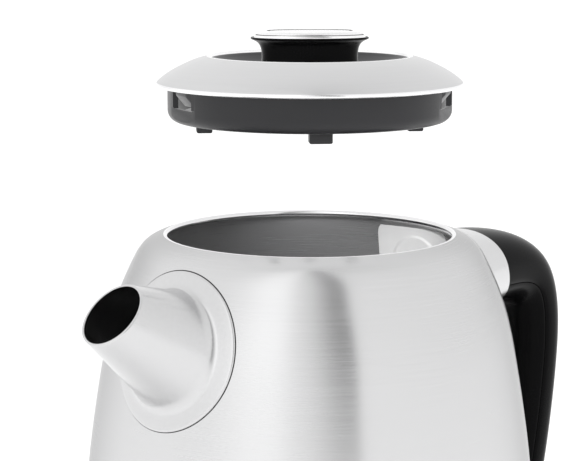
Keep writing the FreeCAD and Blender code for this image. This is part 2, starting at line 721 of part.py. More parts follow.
def knob_screw():
    shank = disc(1.5, DISH_Z - 2.0, KNOB_PLATE_Z - 3)
    head = disc(3.6, DISH_Z - 4.0, DISH_Z - 2.0)
    return shank.fuse(head).removeSplitter()


def catch(side):
    """Sprung catch: a sloping blade that the lip of the opening pushes inwards."""
    top = RIM_Z + 52.8
    low = WINDOW_LOW_Z + 1.0
    outline = [rz(49.5, top), rz(47.6, top), rz(44.9, low + 1.2), rz(38.6, low + 1.2), rz(38.6, low),
               rz(46.2, low), rz(49.5, top - 1.0)]
    face = Part.Face(Part.Wire(chain(outline + outline[:1])))
    face.translate(Vector(0, -CLIP_HALF_WIDTH, 0))
    blade = face.extrude(Vector(0, 2 * CLIP_HALF_WIDTH, 0))
    return around(blade, LID_TURN + side * CLIP_ANGLE)


def catch_springs():
    """Leaf spring behind each catch, standing on the lid's inner cover."""
    leaf = block((36.4, -3.5, SKIRT_FOOT_Z + 2.8), (36.9, 3.5, RIM_Z + 52))
    return group([around(leaf, LID_TURN + side * CLIP_ANGLE) for side in (1, -1)])


# ---------------------------------------------------------------- build and export
def build():
    handle_back, handle_front = handle_halves()
    shell = vessel_shell().cut(spout_hole())
    wall_space = disc(BASE_R + 20, 0, WELD_Z)
    return {
        "base_top": base_top(),
        "base_plate": base_plate(),
        "base_feet": base_feet(),
        "base_screws": base_screws(),
        "base_connector": base_connector(),
        "base_contacts": base_contacts(),
        "terminal_block": terminal_block(),
        "cord_inlet": cord_inlet(),
        "socket_sleeve": socket_sleeve(),
        "socket_contacts": socket_contacts(),
        "vessel_wall": shell.common(wall_space),
        "vessel_shoulder": shell.cut(wall_space),
        "spout": spout(),
        "strainer_frame": strainer_frame(),
        "strainer_mesh": strainer_mesh(),
        "steam_cover": steam_cover(),
        "steam_tube": steam_tube(),
        "element_plate": element_plate(),
        "element_seal": element_seal(),
        "heat_diffuser": heat_diffuser(),
        "heating_element": heating_element(),
        "control_unit": control_unit(),
        "bimetal_discs": bimetal_discs(),
        "base_ring": base_ring(),
        "bottom_cover": bottom_cover(),
        "bottom_screws": bottom_screws(),
        "handle_collar": handle_collar(),
        "handle_bracket": handle_bracket(),
        "handle_back": handle_back,
        "handle_front": handle_front,
        "handle_screws": handle_screws(),
        "lever_pin": lever_pin(),
        "switch_lever": lever(),
        "lever_lens": lever_lens(),
        "lid_ring": lid_ring(),
        "lid_dish": lid_dish(),
        "lid_skirt": lid_skirt(),
        "lid_bottom": lid_bottom(),
        "lid_screws": lid_screws(),
        "knob_body": knob_body(),
        "knob_insert": knob_insert(),
        "knob_screw": knob_screw(),
        "catch_springs": catch_springs(),
        "catch_left": catch(-1),
        "catch_right": catch(1),
    }


os.makedirs("parts", exist_ok=True)
for name, shape in build().items():
    box = shape.BoundBox
    print(f"{name:18s} solids {len(shape.Solids)} valid {shape.isValid()} volume {shape.Volume:9.1f}"
          f" x {box.XMin:7.1f} {box.XMax:7.1f} y {box.YMin:6.1f} {box.YMax:6.1f} z {box.ZMin:6.1f} {box.ZMax:6.1f}")
    shape.exportStep(f"parts/{name}.step")
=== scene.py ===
import json
import math

import bmesh
import bpy
import numpy as np
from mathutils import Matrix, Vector

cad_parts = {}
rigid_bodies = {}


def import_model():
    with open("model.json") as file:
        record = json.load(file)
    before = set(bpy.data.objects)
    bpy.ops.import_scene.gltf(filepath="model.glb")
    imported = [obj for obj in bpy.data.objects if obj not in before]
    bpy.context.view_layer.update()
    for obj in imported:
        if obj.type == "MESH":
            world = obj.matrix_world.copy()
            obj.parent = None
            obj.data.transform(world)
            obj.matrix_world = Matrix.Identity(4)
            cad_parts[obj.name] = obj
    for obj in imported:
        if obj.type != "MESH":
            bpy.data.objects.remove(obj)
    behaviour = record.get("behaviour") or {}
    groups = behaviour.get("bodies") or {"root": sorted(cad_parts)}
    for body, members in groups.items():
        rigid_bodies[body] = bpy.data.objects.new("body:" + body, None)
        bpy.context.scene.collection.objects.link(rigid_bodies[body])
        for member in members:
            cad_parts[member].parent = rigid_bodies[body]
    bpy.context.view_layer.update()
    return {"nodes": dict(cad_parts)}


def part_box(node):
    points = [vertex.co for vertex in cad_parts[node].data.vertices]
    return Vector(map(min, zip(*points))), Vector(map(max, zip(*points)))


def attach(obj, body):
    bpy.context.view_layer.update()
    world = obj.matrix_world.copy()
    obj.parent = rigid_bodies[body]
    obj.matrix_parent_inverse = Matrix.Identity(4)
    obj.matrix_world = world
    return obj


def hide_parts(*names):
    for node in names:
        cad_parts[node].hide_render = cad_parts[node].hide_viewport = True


# Looks of a cordless electric kettle. Lengths in the outlines below are millimetres in the
# frame's own coordinates; a mesh is scaled by MM when it is made.
MM = 0.001

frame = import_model()


def corner_mm(node, top):
    return np.array(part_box(node)[1 if top else 0]) / MM


# ---------------------------------------------------------------- driving places, from the frame
BODY_TOP = corner_mm("vessel_shoulder", True)[2]
BODY_FOOT = corner_mm("vessel_wall", False)[2]
RIM = BODY_TOP - 1.6                       # plane of the filling opening
SKIRT_FOOT = corner_mm("lid_skirt", False)[2]
LID_ZERO = SKIRT_FOOT - 41.3               # height that the lid's outlines are counted from
LID_TURN = math.radians(-132.7)            # direction of the lid's front tab
OPENING_R = 50.0
SHEET = 0.8

# ---------------------------------------------------------------- camera
CAMERA_DISTANCE = 653.01
CAMERA_BEARING = math.radians(221.75)      # from the kettle's axis, about +Z
CAMERA_Z = RIM + 108.785
CAMERA_PITCH = math.radians(9.281)
CAMERA_YAW = math.radians(0.512)
CAMERA_LENS = 115.05
TO_CAMERA = np.array([math.cos(CAMERA_BEARING), math.sin(CAMERA_BEARING), 0.0])
CAMERA_RIGHT = np.array([-TO_CAMERA[1], TO_CAMERA[0], 0.0])


def make_camera():
    data = bpy.data.cameras.new("camera")
    data.lens = CAMERA_LENS
    data.sensor_width = 36.0
    data.clip_start = 0.01
    camera = bpy.data.objects.new("camera", data)
    x, y = TO_CAMERA[:2] * CAMERA_DISTANCE
    camera.location = [v * MM for v in (x, y, CAMERA_Z)]
    heading = math.atan2(-TO_CAMERA[1], -TO_CAMERA[0]) + CAMERA_YAW
    camera.rotation_euler = (math.pi / 2 - CAMERA_PITCH, 0.0, heading - math.pi / 2)
    bpy.context.scene.collection.objects.link(camera)
    bpy.context.scene.camera = camera


# ---------------------------------------------------------------- mesh helpers
def smooth_path(points, per_span=8):
    """Natural cubic curve through points, as an array of points."""
    p = np.array(points, float)
    t = np.concatenate([[0], np.cumsum(np.linalg.norm(np.diff(p, axis=0), axis=1))])
    n = len(p)
    h = np.diff(t)
    system = np.eye(n)
    right = np.zeros_like(p)
    for i in range(1, n - 1):
        system[i, i - 1:i + 2] = [h[i - 1], 2 * (h[i - 1] + h[i]), h[i]]
        right[i] = 6 * ((p[i + 1] - p[i]) / h[i] - (p[i] - p[i - 1]) / h[i - 1])
    bend = np.linalg.solve(system, right)
    out = []
    for i in range(n - 1):
        for s in np.linspace(0, h[i], per_span, endpoint=False):
            a, b = h[i] - s, s
            out.append((bend[i] * a ** 3 + bend[i + 1] * b ** 3) / (6 * h[i])
                       + (p[i] / h[i] - bend[i] * h[i] / 6) * a
                       + (p[i + 1] / h[i] - bend[i + 1] * h[i] / 6) * b)
    out.append(p[-1])
    return np.array(out)


def rounded(points, radii, closed=True, steps=6):
    """Outline with an arc of the given radius at each corner; radius 0 keeps it sharp."""
    p = np.array(points, float)
    out = []
    count = len(p)
    for i in range(count):
        radius = radii[i] if hasattr(radii, "__len__") else radii
        if radius == 0 or (not closed and i in (0, count - 1)):
            out.append(p[i])
            continue
        before, after = p[i - 1] - p[i], p[(i + 1) % count] - p[i]
        before_len, after_len = np.linalg.norm(before), np.linalg.norm(after)
        before, after = before / before_len, after / after_len
        half = math.acos(np.clip(before @ after, -1, 1)) / 2
        reach = min(radius / math.tan(half), before_len * 0.49, after_len * 0.49)
        radius = reach * math.tan(half)
        middle = (before + after) / np.linalg.norm(before + after)
        centre = p[i] + middle * (radius / math.sin(half))
        start, finish = p[i] + before * reach - centre, p[i] + after * reach - centre
        sweep = math.pi - 2 * half
        for k in range(steps + 1):
            w = k / steps
            turned = start * math.sin((1 - w) * sweep) + finish * math.sin(w * sweep)
            out.append(centre + turned / math.sin(sweep))
    return np.array(out)


def piece(name, verts, faces, material, body, slot, replaces=(), crease=35.0, second=None, second_faces=()):
    """Mesh object from millimetre points, smooth apart from edges sharper than crease."""
    mesh = bpy.data.meshes.new(name)
    mesh.from_pydata([tuple(v) for v in np.asarray(verts) * MM], [], [tuple(f) for f in faces])
    for index in second_faces:
        mesh.polygons[index].material_index = 1
    work = bmesh.new()
    work.from_mesh(mesh)
    bmesh.ops.remove_doubles(work, verts=work.verts, dist=1e-7)
    bmesh.ops.dissolve_degenerate(work, edges=work.edges, dist=1e-8)
    bmesh.ops.recalc_face_normals(work, faces=work.faces)
    work.to_mesh(mesh)
    work.free()
    obj = bpy.data.objects.new(name, mesh)
    bpy.context.scene.collection.objects.link(obj)
    mesh.materials.append(material)
    if second:
        mesh.materials.append(second)
    smooth(obj, crease)
    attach(obj, body)
    if replaces:
        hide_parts(*replaces)
    return obj


def smooth(obj, crease):
    obj.data.polygons.foreach_set("use_smooth", [True] * len(obj.data.polygons))
    obj.data.set_sharp_from_angle(angle=math.radians(crease))


def grid(rings, wrap_rings=False, wrap_points=True):
    """Vertices and quads of a net of rings, each with the same number of points."""
    rings = np.asarray(rings, float)
    rows, cols = rings.shape[:2]
    faces = []
    for i in range(rows if wrap_rings else rows - 1):
        for j in range(cols if wrap_points else cols - 1):
            a, b = i * cols + j, i * cols + (j + 1) % cols
            c, d = ((i + 1) % rows) * cols + (j + 1) % cols, ((i + 1) % rows) * cols + j
            faces.append((a, b, c, d))
    return rings.reshape(-1, 3), faces


def lathe(outline, closed=True, segments=192, centre=(0.0, 0.0)):
    """Net of an outline of (radius, height) turned about a vertical axis."""
    outline = np.asarray(outline, float)
    angles = np.linspace(0, 2 * math.pi, segments, endpoint=False)
    rings = np.array([[(centre[0] + r * math.cos(a), centre[1] + r * math.sin(a), z) for r, z in outline]
                      for a in angles])
    return grid(rings, wrap_rings=True, wrap_points=closed)


def capped(rings):
    """Net of rings with both ends closed by a fan."""
    verts, faces = grid(rings)
    rings = np.asarray(rings, float)
    rows, cols = rings.shape[:2]
    verts = np.vstack([verts, rings[0].mean(axis=0), rings[-1].mean(axis=0)])
    for j in range(cols):
        k = (j + 1) % cols
        faces.append((rows * cols, k, j))
        faces.append((rows * cols + 1, (rows - 1) * cols + j, (rows - 1) * cols + k))
    return verts, faces


def oval_ring(centre, across, up, half_width, half_height, squareness=2.0, count=96):
    t = np.linspace(0, 2 * math.pi, count, endpoint=False)
    c = np.sign(np.cos(t)) * np.abs(np.cos(t)) ** (2 / squareness)
    s = np.sign(np.sin(t)) * np.abs(np.sin(t)) ** (2 / squareness)
    return (np.array(centre) + np.outer(c * half_width, across) + np.outer(s * half_height, up))


def cut_with(obj, cutters):
    """Cut temporary cutter meshes out of obj's own mesh."""
    for cutter in cutters:
        change = obj.modifiers.new("cut", "BOOLEAN")
        change.operation = "DIFFERENCE"
        change.solver = "EXACT"
        change.object = cutter
    bpy.context.view_layer.update()
    result = bpy.data.meshes.new_from_object(obj.evaluated_get(bpy.context.evaluated_depsgraph_get()))
    obj.modifiers.clear()
    obj.data = result
    for cutter in cutters:
        bpy.data.objects.remove(cutter)


def plain(name, verts, faces):
    """Temporary mesh object for a boolean."""
    mesh = bpy.data.meshes.new(name)
    mesh.from_pydata([tuple(v) for v in np.asarray(verts) * MM], [], [tuple(f) for f in faces])
    work = bmesh.new()
    work.from_mesh(mesh)
    bmesh.ops.remove_doubles(work, verts=work.verts, dist=1e-7)
    bmesh.ops.recalc_face_normals(work, faces=work.faces)
    work.to_mesh(mesh)
    work.free()
    obj = bpy.data.objects.new(name, mesh)
    bpy.context.scene.collection.objects.link(obj)
    return obj


def turned_about_z(points, angle):
    c, s = math.cos(angle), math.sin(angle)
    return np.asarray(points, float) @ np.array([[c, s, 0], [-s, c, 0], [0, 0, 1]])


def soft_block(low, high, radius, steps=3):
    """Box with every edge rounded, as vertices and faces."""
    low, high = np.array(low, float), np.array(high, float)
    work = bmesh.new()
    bmesh.ops.create_cube(work, size=1.0)
    for v in work.verts:
        v.co = Vector((low + high) / 2) + Vector(np.array(v.co) * (high - low))
    bmesh.ops.bevel(work, geom=work.edges[:], offset=radius, segments=steps, profile=0.5, affect="EDGES")
    verts = np.array([v.co[:] for v in work.verts])
    faces = [[v.index for v in f.verts] for f in work.faces]
    work.free()
    return verts, faces


def joined(parts):
    """Several nets in one."""
    verts, faces, start = [], [], 0
    for v, f in parts:
        verts.append(np.asarray(v, float))
        faces += [[i + start for i in face] for face in f]
        start += len(v)
    return np.vstack(verts), faces


# ---------------------------------------------------------------- materials
class Nodes:
    """Short forms for building one material's nodes."""

    def __init__(self, name):
        self.material = bpy.data.materials.new(name)
        self.material.use_nodes = True
        self.tree = self.material.node_tree
        self.shader = self.tree.nodes["Principled BSDF"]

    def node(self, kind, **values):
        made = self.tree.nodes.new(kind)
        for key, value in values.items():
            setattr(made, key, value)
        return made

    def link(self, a, b):
        self.tree.links.new(a, b)

    def math(self, operation, a, b=None):
        made = self.node("ShaderNodeMath", operation=operation)
        for socket, value in zip(made.inputs, (a, b)):
            if value is None:
                continue
            if isinstance(value, (int, float)):
                socket.default_value = value
            else:
                self.link(value, socket)
        return made.outputs[0]

    def noise(self, vector, scale, detail=2.0, roughness=0.5):
        made = self.node("ShaderNodeTexNoise")
        made.inputs["Scale"].default_value = scale
        made.inputs["Detail"].default_value = detail
        made.inputs["Roughness"].default_value = roughness
        if vector is not None:
            self.link(vector, made.inputs["Vector"])
        return made.outputs["Fac"]

    def spread(self, value, low, high):
        """Value between 0.3 and 0.7 mapped to low and high."""
        made = self.node("ShaderNodeMapRange")
        self.link(value, made.inputs["Value"])
        for key, number in (("From Min", 0.3), ("From Max", 0.7), ("To Min", low), ("To Max", high)):
            made.inputs[key].default_value = number
        return made.outputs["Result"]

    def tint(self, value, dark, light):
        made = self.node("ShaderNodeMix", data_type="RGBA")
        self.link(value, made.inputs["Factor"])
        made.inputs["A"].default_value = (*dark, 1.0)
        made.inputs["B"].default_value = (*light, 1.0)
        return made.outputs["Result"]

    def colour(self, value, dark, light):
        """Base colour that drifts between two colours with a noise."""
        self.link(self.tint(self.spread(value, 0.0, 1.0), dark, light), self.shader.inputs["Base Color"])

    def bump(self, height, strength, distance):
        made = self.node("ShaderNodeBump")
        made.inputs["Strength"].default_value = strength
        made.inputs["Distance"].default_value = distance
        self.link(height, made.inputs["Height"])
        self.link(made.outputs["Normal"], self.shader.inputs["Normal"])

    def set(self, **values):
        for key, value in values.items():
            self.shader.inputs[key.replace("_", " ")].default_value = value


def place(nodes):
    return nodes.node("ShaderNodeTexCoord").outputs["Object"]


def turned_grain(nodes, along, across):
    """Coordinates whose noise runs in rings round the kettle's axis."""
    split = nodes.node("ShaderNodeSeparateXYZ")
    nodes.link(place(nodes), split.inputs[0])
    x, y, z = split.outputs
    radius = nodes.math("SQRT", nodes.math("ADD", nodes.math("MULTIPLY", x, x), nodes.math("MULTIPLY", y, y)))
    join = nodes.node("ShaderNodeCombineXYZ")
    nodes.link(nodes.math("MULTIPLY", x, along), join.inputs[0])
    nodes.link(nodes.math("MULTIPLY", y, along), join.inputs[1])
    nodes.link(nodes.math("MULTIPLY", nodes.math("SUBTRACT", z, radius), across), join.inputs[2])
    return join.outputs[0]


def steel(name, colour, rough, anisotropy, grain, metallic=1.0, edge=0.65):
    """Steel brushed in rings: fine streaks, faint smudges, highlights drawn out upwards."""
    n = Nodes(name)
    streaks = n.noise(turned_grain(n, 30.0, 2600.0), 1.0, 3.0, 0.65)
    smudges = n.noise(place(n), 24.0, 3.0)
    n.colour(streaks, [c * 0.965 for c in colour], colour)
    uneven = n.math("ADD", n.spread(streaks, -0.35 * grain, 0.35 * grain), n.spread(smudges, -0.02, 0.02))
    n.link(n.math("ADD", uneven, rough), n.shader.inputs["Roughness"])
    n.bump(streaks, 0.045, grain * 0.00008)
    tangent = n.node("ShaderNodeTangent", direction_type="RADIAL", axis="Z")
    n.link(tangent.outputs[0], n.shader.inputs["Tangent"])
    n.set(Metallic=metallic, Anisotropic=anisotropy, Anisotropic_Rotation=0.25)
    n.shader.inputs["Specular Tint"].default_value = (edge, edge, edge, 1.0)
    return n.material


def plastic(name, colour, rough, texture, specular=0.5):
    """Moulded plastic: fine texture, slight colour drift, faint handling marks."""
    n = Nodes(name)
    drift = n.noise(place(n), 30.0, 4.0)
    pores = n.noise(place(n), 1400.0, 2.0, 0.6)
    darker = [c * 0.88 for c in colour]
    lighter = [min(1.0, c * 1.08) for c in colour]
    n.colour(drift, darker, lighter)
    marks = n.math("ADD", n.spread(drift, -0.035, 0.035), n.spread(pores, -0.03, 0.03))
    n.link(n.math("ADD", marks, rough), n.shader.inputs["Roughness"])
    n.bump(pores, 0.2, texture)
    n.shader.inputs["Specular IOR Level"].default_value = specular
    return n.material


def cast_metal(name, colour, rough, fine=False):
    """Mill-finish or cast metal with a mottled surface; the fine one is a satin finish."""
    n = Nodes(name)
    mottle = n.noise(place(n), 900.0 if fine else 260.0, 4.0, 0.6)
    vary = 0.25 if fine else 1.0
    darker = [c * (1 - 0.15 * vary) for c in colour]
    n.colour(mottle, darker, colour)
    n.link(n.spread(mottle, rough - 0.07 * vary, rough + 0.07 * vary), n.shader.inputs["Roughness"])
    n.bump(mottle, 0.25 * vary, 0.00004 * vary)
    n.set(Metallic=1.0)
    return n.material


def rubber(name, colour):
    n = Nodes(name)
    bloom = n.noise(place(n), 90.0, 5.0, 0.65)
    n.colour(bloom, [c * 0.7 for c in colour], colour)
    n.link(n.spread(bloom, 0.62, 0.82), n.shader.inputs["Roughness"])
    n.bump(bloom, 0.3, 0.00006)
    return n.material


def lamp_lens(name):
    n = Nodes(name)
    haze = n.noise(place(n), 300.0, 3.0)
    n.colour(haze, (0.62, 0.10, 0.05), (0.85, 0.22, 0.10))
    n.link(n.spread(haze, 0.08, 0.2), n.shader.inputs["Roughness"])
    n.set(IOR=1.49)
    n.shader.inputs["Transmission Weight"].default_value = 0.6
    return n.material


BRUSHED = steel("brushed steel", (0.69, 0.69, 0.695), 0.25, 0.85, 0.08)
LID_STEEL = steel("satin lid steel", (0.69, 0.69, 0.695), 0.30, 0.3, 0.04, edge=0.92)
POLISHED = cast_metal("polished steel edge", (0.96, 0.96, 0.965), 0.12, fine=True)
SPOUT_STEEL = cast_metal("satin spout steel", (0.67, 0.67, 0.675), 0.25, fine=True)
INNER_STEEL = steel("vessel lining steel", (0.66, 0.66, 0.665), 0.30, 0.5, 0.12, metallic=0.75)
LIP_STEEL = cast_metal("polished lip", (0.84, 0.84, 0.845), 0.14, fine=True)
NECK_STEEL = cast_metal("satin neck steel", (0.70, 0.70, 0.705), 0.24, fine=True)
# Near-black colour for the spout's bore: painted shade standing in for the dark inside of the spout.
BORE_SHADE = cast_metal("painted shade inside the spout", (0.06, 0.06, 0.06), 0.5)
MILL_STEEL = cast_metal("mill steel", (0.60, 0.60, 0.61), 0.36)
PLATE_STEEL = cast_metal("rolled plate steel", (0.85, 0.85, 0.86), 0.34)
SCREW_STEEL = cast_metal("zinc plated steel", (0.52, 0.52, 0.53), 0.32)
ALUMINIUM = cast_metal("cast aluminium", (0.74, 0.74, 0.75), 0.42)
BRASS = cast_metal("contact brass", (0.75, 0.56, 0.27), 0.3)
GLOSS_BLACK = plastic("gloss black plastic", (0.003, 0.003, 0.0033), 0.24, 0.00001, specular=0.045)
BLACK = plastic("textured black plastic", (0.022, 0.022, 0.024), 0.45, 0.00004)
DARK = plastic("dark grey plastic", (0.018, 0.018, 0.020), 0.36, 0.00003, specular=0.35)
CATCH_GREY = plastic("catch plastic", (0.075, 0.075, 0.078), 0.34, 0.00003)
DISH_DARK = plastic("dark lid dish plastic", (0.030, 0.030, 0.033), 0.36, 0.00002)
GREY = plastic("grey plastic", (0.33, 0.33, 0.34), 0.5, 0.00004)
WHITE = plastic("white plastic", (0.90, 0.90, 0.90), 0.35, 0.00002)
SILVER_CAP = cast_metal("silver cap", (0.95, 0.95, 0.955), 0.2, fine=True)
RUBBER = rubber("foot rubber", (0.035, 0.035, 0.036))
SILICONE = rubber("silicone", (0.55, 0.55, 0.52))
LENS = lamp_lens("tinted lens")
# Near-black for thin rings and the knob's groove: painted shade for gaps and grooves where shadow falls.
SHADE_LINE_BLACK = rubber("black painted shade line", (0.02, 0.02, 0.02))


# ---------------------------------------------------------------- vessel
VESSEL_SIDE = [
    (OPENING_R + 1.2, RIM + 1.6), (55.0, RIM + 0.3), (58.0, RIM - 1.4), (60.2, RIM - 3.8), (63.0, RIM - 8.8),
    (67.0, RIM - 17.7), (70.0, RIM - 26.6), (73.1, RIM - 41.0), (76.1, RIM - 58.7), (79.0, RIM - 80.4),
    (81.0, 93.0), (81.6, 68.0), (80.6, BODY_FOOT),
]
SIDE = smooth_path(VESSEL_SIDE, 10)


def side_radius(z, proud=0.0):
    """Radius of the vessel's outer surface at a height, or of the surface just proud of it."""
    if not proud:
        return np.interp(-z, -SIDE[:, 1], SIDE[:, 0])
    moved = offset_path(SIDE, -proud)
    return np.interp(-z, -moved[:, 1], moved[:, 0])


def offset_path(path, inwards):
    """Path of (radius, height) moved to its inner side."""
    slope = np.gradient(path, axis=0)
    slope /= np.linalg.norm(slope, axis=1)[:, None]
    return path + np.column_stack([slope[:, 1], -slope[:, 0]]) * inwards


def make_vessel():
    inner = offset_path(SIDE, SHEET)
    bead = np.array([OPENING_R + 1.2, RIM + 0.4])
    turn = np.radians(np.linspace(90, 270, 14))
    lip = bead + 1.2 * np.column_stack([np.cos(turn), np.sin(turn)])
    start = int(np.argmax(inner[:, 0] > bead[0] + 2.0))
    outline = np.vstack([SIDE[::-1], lip[1:], inner[start:]])
    vessel = piece("vessel", *lathe(outline, segments=256), BRUSHED, "kettle", "brushed_steel",
                   ["vessel_shoulder", "vessel_wall"], crease=40)
    axis_up = math.radians(SPOUT_TILT)
    across, up = np.array([0, 1, 0]), np.array([math.sin(axis_up), 0, math.cos(axis_up)])
    out = np.array([-math.cos(axis_up), 0, math.sin(axis_up)])
    centre = np.array([SPOUT_X, 0, SPOUT_Z])
    hole = capped([oval_ring(centre + out * d, across, up, 16.0, 16.0) for d in (-25, 25)])
    cut_with(vessel, [plain("hole", *hole)])
    lining_from = RIM - 1.0
    vessel.data.materials.append(INNER_STEEL)
    vessel.data.materials.append(LIP_STEEL)
    for face in vessel.data.polygons:
        x, y, z = face.center
        facing_in = face.normal.x * x + face.normal.y * y < 0
        if facing_in and z / MM < lining_from and math.hypot(x, y) / MM > OPENING_R + 0.6:
            face.material_index = 1
        elif math.hypot(x, y) / MM < OPENING_R + 1.6:
            face.material_index = 2
    smooth(vessel, 40)


# ---------------------------------------------------------------- spout
SPOUT_X = -70.7
SPOUT_Z = RIM - 29.7
SPOUT_TILT = 5.5
FLANGE_R = 26.3
MOUTH = np.array([-94.5, 0.0, RIM - 13.6])
MOUTH_TILT = math.radians(45.0)
ROOT = np.array([-60.0, 0.0, RIM - 34.0])
ROOT_TILT = math.radians(20.5)


def on_side(point, direction, proud):
    """Point moved along a direction until it lies on the surface proud of the vessel's side."""
    low, high = -30.0, 40.0
    for _ in range(40):
        middle = (low + high) / 2
        q = point + direction * middle
        if math.hypot(q[0], q[1]) > side_radius(q[2], proud):
            high = middle
        else:
            low = middle
    return point + direction * high


def make_spout():
    count = 144
    tilt = math.radians(SPOUT_TILT)
    out = np.array([-math.cos(tilt), 0, math.sin(tilt)])
    up = np.array([math.sin(tilt), 0, math.cos(tilt)])
    across = np.array([0, 1.0, 0])
    centre = np.array([SPOUT_X, 0, SPOUT_Z])

    def flange_ring(radius, proud):
        flat = oval_ring(centre, across, up, radius, radius, count=count)
        return np.array([on_side(p, out, proud) for p in flat])

    def lean_up(angle):
        return np.array([math.sin(angle), 0, math.cos(angle)])

    def cone_ring(inset, end, tilt_angle, half_width, half_height):
        return oval_ring(end, across, lean_up(tilt_angle), half_width - inset, half_height - inset,
                         count=count)

    def cone_points(inset):
        root = cone_ring(inset, ROOT, ROOT_TILT, 22.0, 22.4)
        mouth = cone_ring(inset, MOUTH, MOUTH_TILT, 10.8, 12.0)
        return root, mouth

    root, mouth = cone_points(0.0)
    direction = (mouth - root) / np.linalg.norm(mouth - root, axis=1)[:, None]
    foot = np.array([on_side(p, d, 0.6) for p, d in zip(root, direction)])
    # concave fillet from the flange into the cone
    fillet = 3.6
    away = foot - centre
    away -= np.outer(away @ out, out)
    away /= np.linalg.norm(away, axis=1)[:, None]
    start = np.array([on_side(f + a * fillet * 0.55, out, 0.6) for f, a in zip(foot, away)])
    rings = [flange_ring(FLANGE_R, -0.2), flange_ring(FLANGE_R, 0.25), flange_ring(FLANGE_R - 0.12, 0.47),
             flange_ring(FLANGE_R - 0.4, 0.58), flange_ring(FLANGE_R - 0.9, 0.6)]
    edge = rings[-1]
    for w in (0.33, 0.66):
        rings.append(np.array([on_side(e + (s - e) * w, out, 0.6) for e, s in zip(edge, start)]))
    rise = foot + direction * fillet
    for w in np.linspace(0, 1, 9):
        rings.append(start * (1 - w) ** 2 + foot * 2 * w * (1 - w) + rise * w ** 2)
    for w in (0.25, 0.5, 0.75, 0.96):
        rings.append(rise + (mouth - rise) * w)
    # thin rounded edge at the mouth, then the bore
    wall = 0.9
    inner_root, inner_mouth = cone_points(wall)
    bore_from = len(rings)
    lip_out = (mouth - MOUTH) / np.linalg.norm(mouth - MOUTH, axis=1)[:, None]
    beyond = direction
    for angle in np.radians(np.linspace(0, 180, 7)):
        rings.append(mouth - beyond * 0.45 - lip_out * (wall / 2) * (1 - math.cos(angle))
                     + beyond * (wall / 2) * math.sin(angle))
    deep = np.array([on_side(p, d, -1.6) for p, d in zip(inner_root, (inner_mouth - inner_root)
                     / np.linalg.norm(inner_mouth - inner_root, axis=1)[:, None])])
    for w in (0.3, 0.6, 0.9, 1.0):
        rings.append(inner_mouth + (deep - inner_mouth) * w)
    back = np.array([on_side(d_, out, -0.05) for d_ in deep])
    rings.append(back)
    rings.append(flange_ring(FLANGE_R - 3.0, -0.15))
    # The bore's faces take the near-black material: painted shade for the dark inside of the spout.
    bore = range((bore_from + 6) * count, (bore_from + 10) * count)
    piece("spout_cone", *grid(np.array(rings), wrap_rings=True), SPOUT_STEEL, "kettle", "brushed_steel",
          ["spout"], crease=50, second=BORE_SHADE, second_faces=bore)


def make_spout_shade_ring():
    """Thin black ring round the flange: painted shade standing in for the shadow in the gap between flange
    and vessel.
    """
    count = 144
    tilt = math.radians(SPOUT_TILT)
    out = np.array([-math.cos(tilt), 0, math.sin(tilt)])
    up = np.array([math.sin(tilt), 0, math.cos(tilt)])
    centre = np.array([SPOUT_X, 0, SPOUT_Z])
    rings = []
    for radius, proud in ((FLANGE_R - 0.1, -0.1), (FLANGE_R - 0.1, 0.12), (FLANGE_R + 0.22, 0.12),
                          (FLANGE_R + 0.32, -0.1)):
        flat = oval_ring(centre, np.array([0, 1.0, 0]), up, radius, radius, count=count)
        rings.append([on_side(p, out, proud) for p in flat])
    piece("spout_shade_ring", *grid(np.array(rings), wrap_rings=True), SHADE_LINE_BLACK, "kettle", "foot_rubber", crease=60)


# ---------------------------------------------------------------- lid
def lid_height(z):
    return LID_ZERO + z


def make_lid_ring():
    dome = smooth_path([(35.9, 63.75), (40.8, 62.3), (45.3, 60.3), (50.9, 57.0), (53.1, 55.2)], 8)
    turn = np.radians(np.linspace(50, -95, 12))
    hem = np.array([52.85, 54.25]) + 0.78 * np.column_stack([np.cos(turn), np.sin(turn)])
    under = smooth_path([(51.4, 55.3), (50.2, 56.2), (44.8, 59.4), (40.4, 61.3), (35.0, 62.9)], 6)
    bead = np.array([(35.05, 63.35), (35.15, 63.75), (35.4, 63.95), (35.7, 63.95)])
    outline = np.vstack([bead, dome[:-2], hem, under])
    outline[:, 1] += LID_ZERO
    hem_from = len(bead) + len(dome) - 2
    count = len(outline)
    shiny = list(range(len(bead))) + list(range(hem_from, hem_from + 11)) + [count - 1]
    bright = [a * count + k for a in range(256) for k in shiny]
    piece("lid_dome", *lathe(outline, segments=256), LID_STEEL, "lid", "polished_steel", ["lid_ring"],
          crease=40, second=POLISHED, second_faces=bright)


def make_lid_dish():
    top = smooth_path([(0.0, 58.0), (12, 58.0), (21, 58.0), (26, 58.6), (31, 60.4), (33.4, 62.2)], 6)
    edge = np.array([(33.9, 62.9), (34.3, 63.05), (34.6, 62.9), (34.75, 62.4)])
    low = smooth_path([(34.7, 60.4), (31.6, 58.2), (26.4, 56.6), (21, 56.0), (0.0, 56.0)], 4)
    outline = np.vstack([top, edge, low])
    outline[:, 1] += LID_ZERO
    dish = lathe(outline, closed=False, segments=192)
    bosses = []
    for k in range(4):
        a = LID_TURN + math.radians(45 + 90 * k)
        low, high = SKIRT_FOOT + 2.8, lid_height(57.0)
        bosses.append(lathe([(0, low), (3.4, low), (3.4, high), (0, high)],
                            closed=False, segments=24, centre=(26 * math.cos(a), 26 * math.sin(a))))
    piece("lid_bowl", *joined([dish] + bosses), DISH_DARK, "lid", "dark_plastic", ["lid_dish"], crease=40)


CATCH_ANGLE = math.radians(67.0)           # of each catch from the front tab
TAB_HALF = 3.9
WINDOW_LOW = 46.9
WINDOW_TOP = 53.3
WINDOW_HALF = 7.3


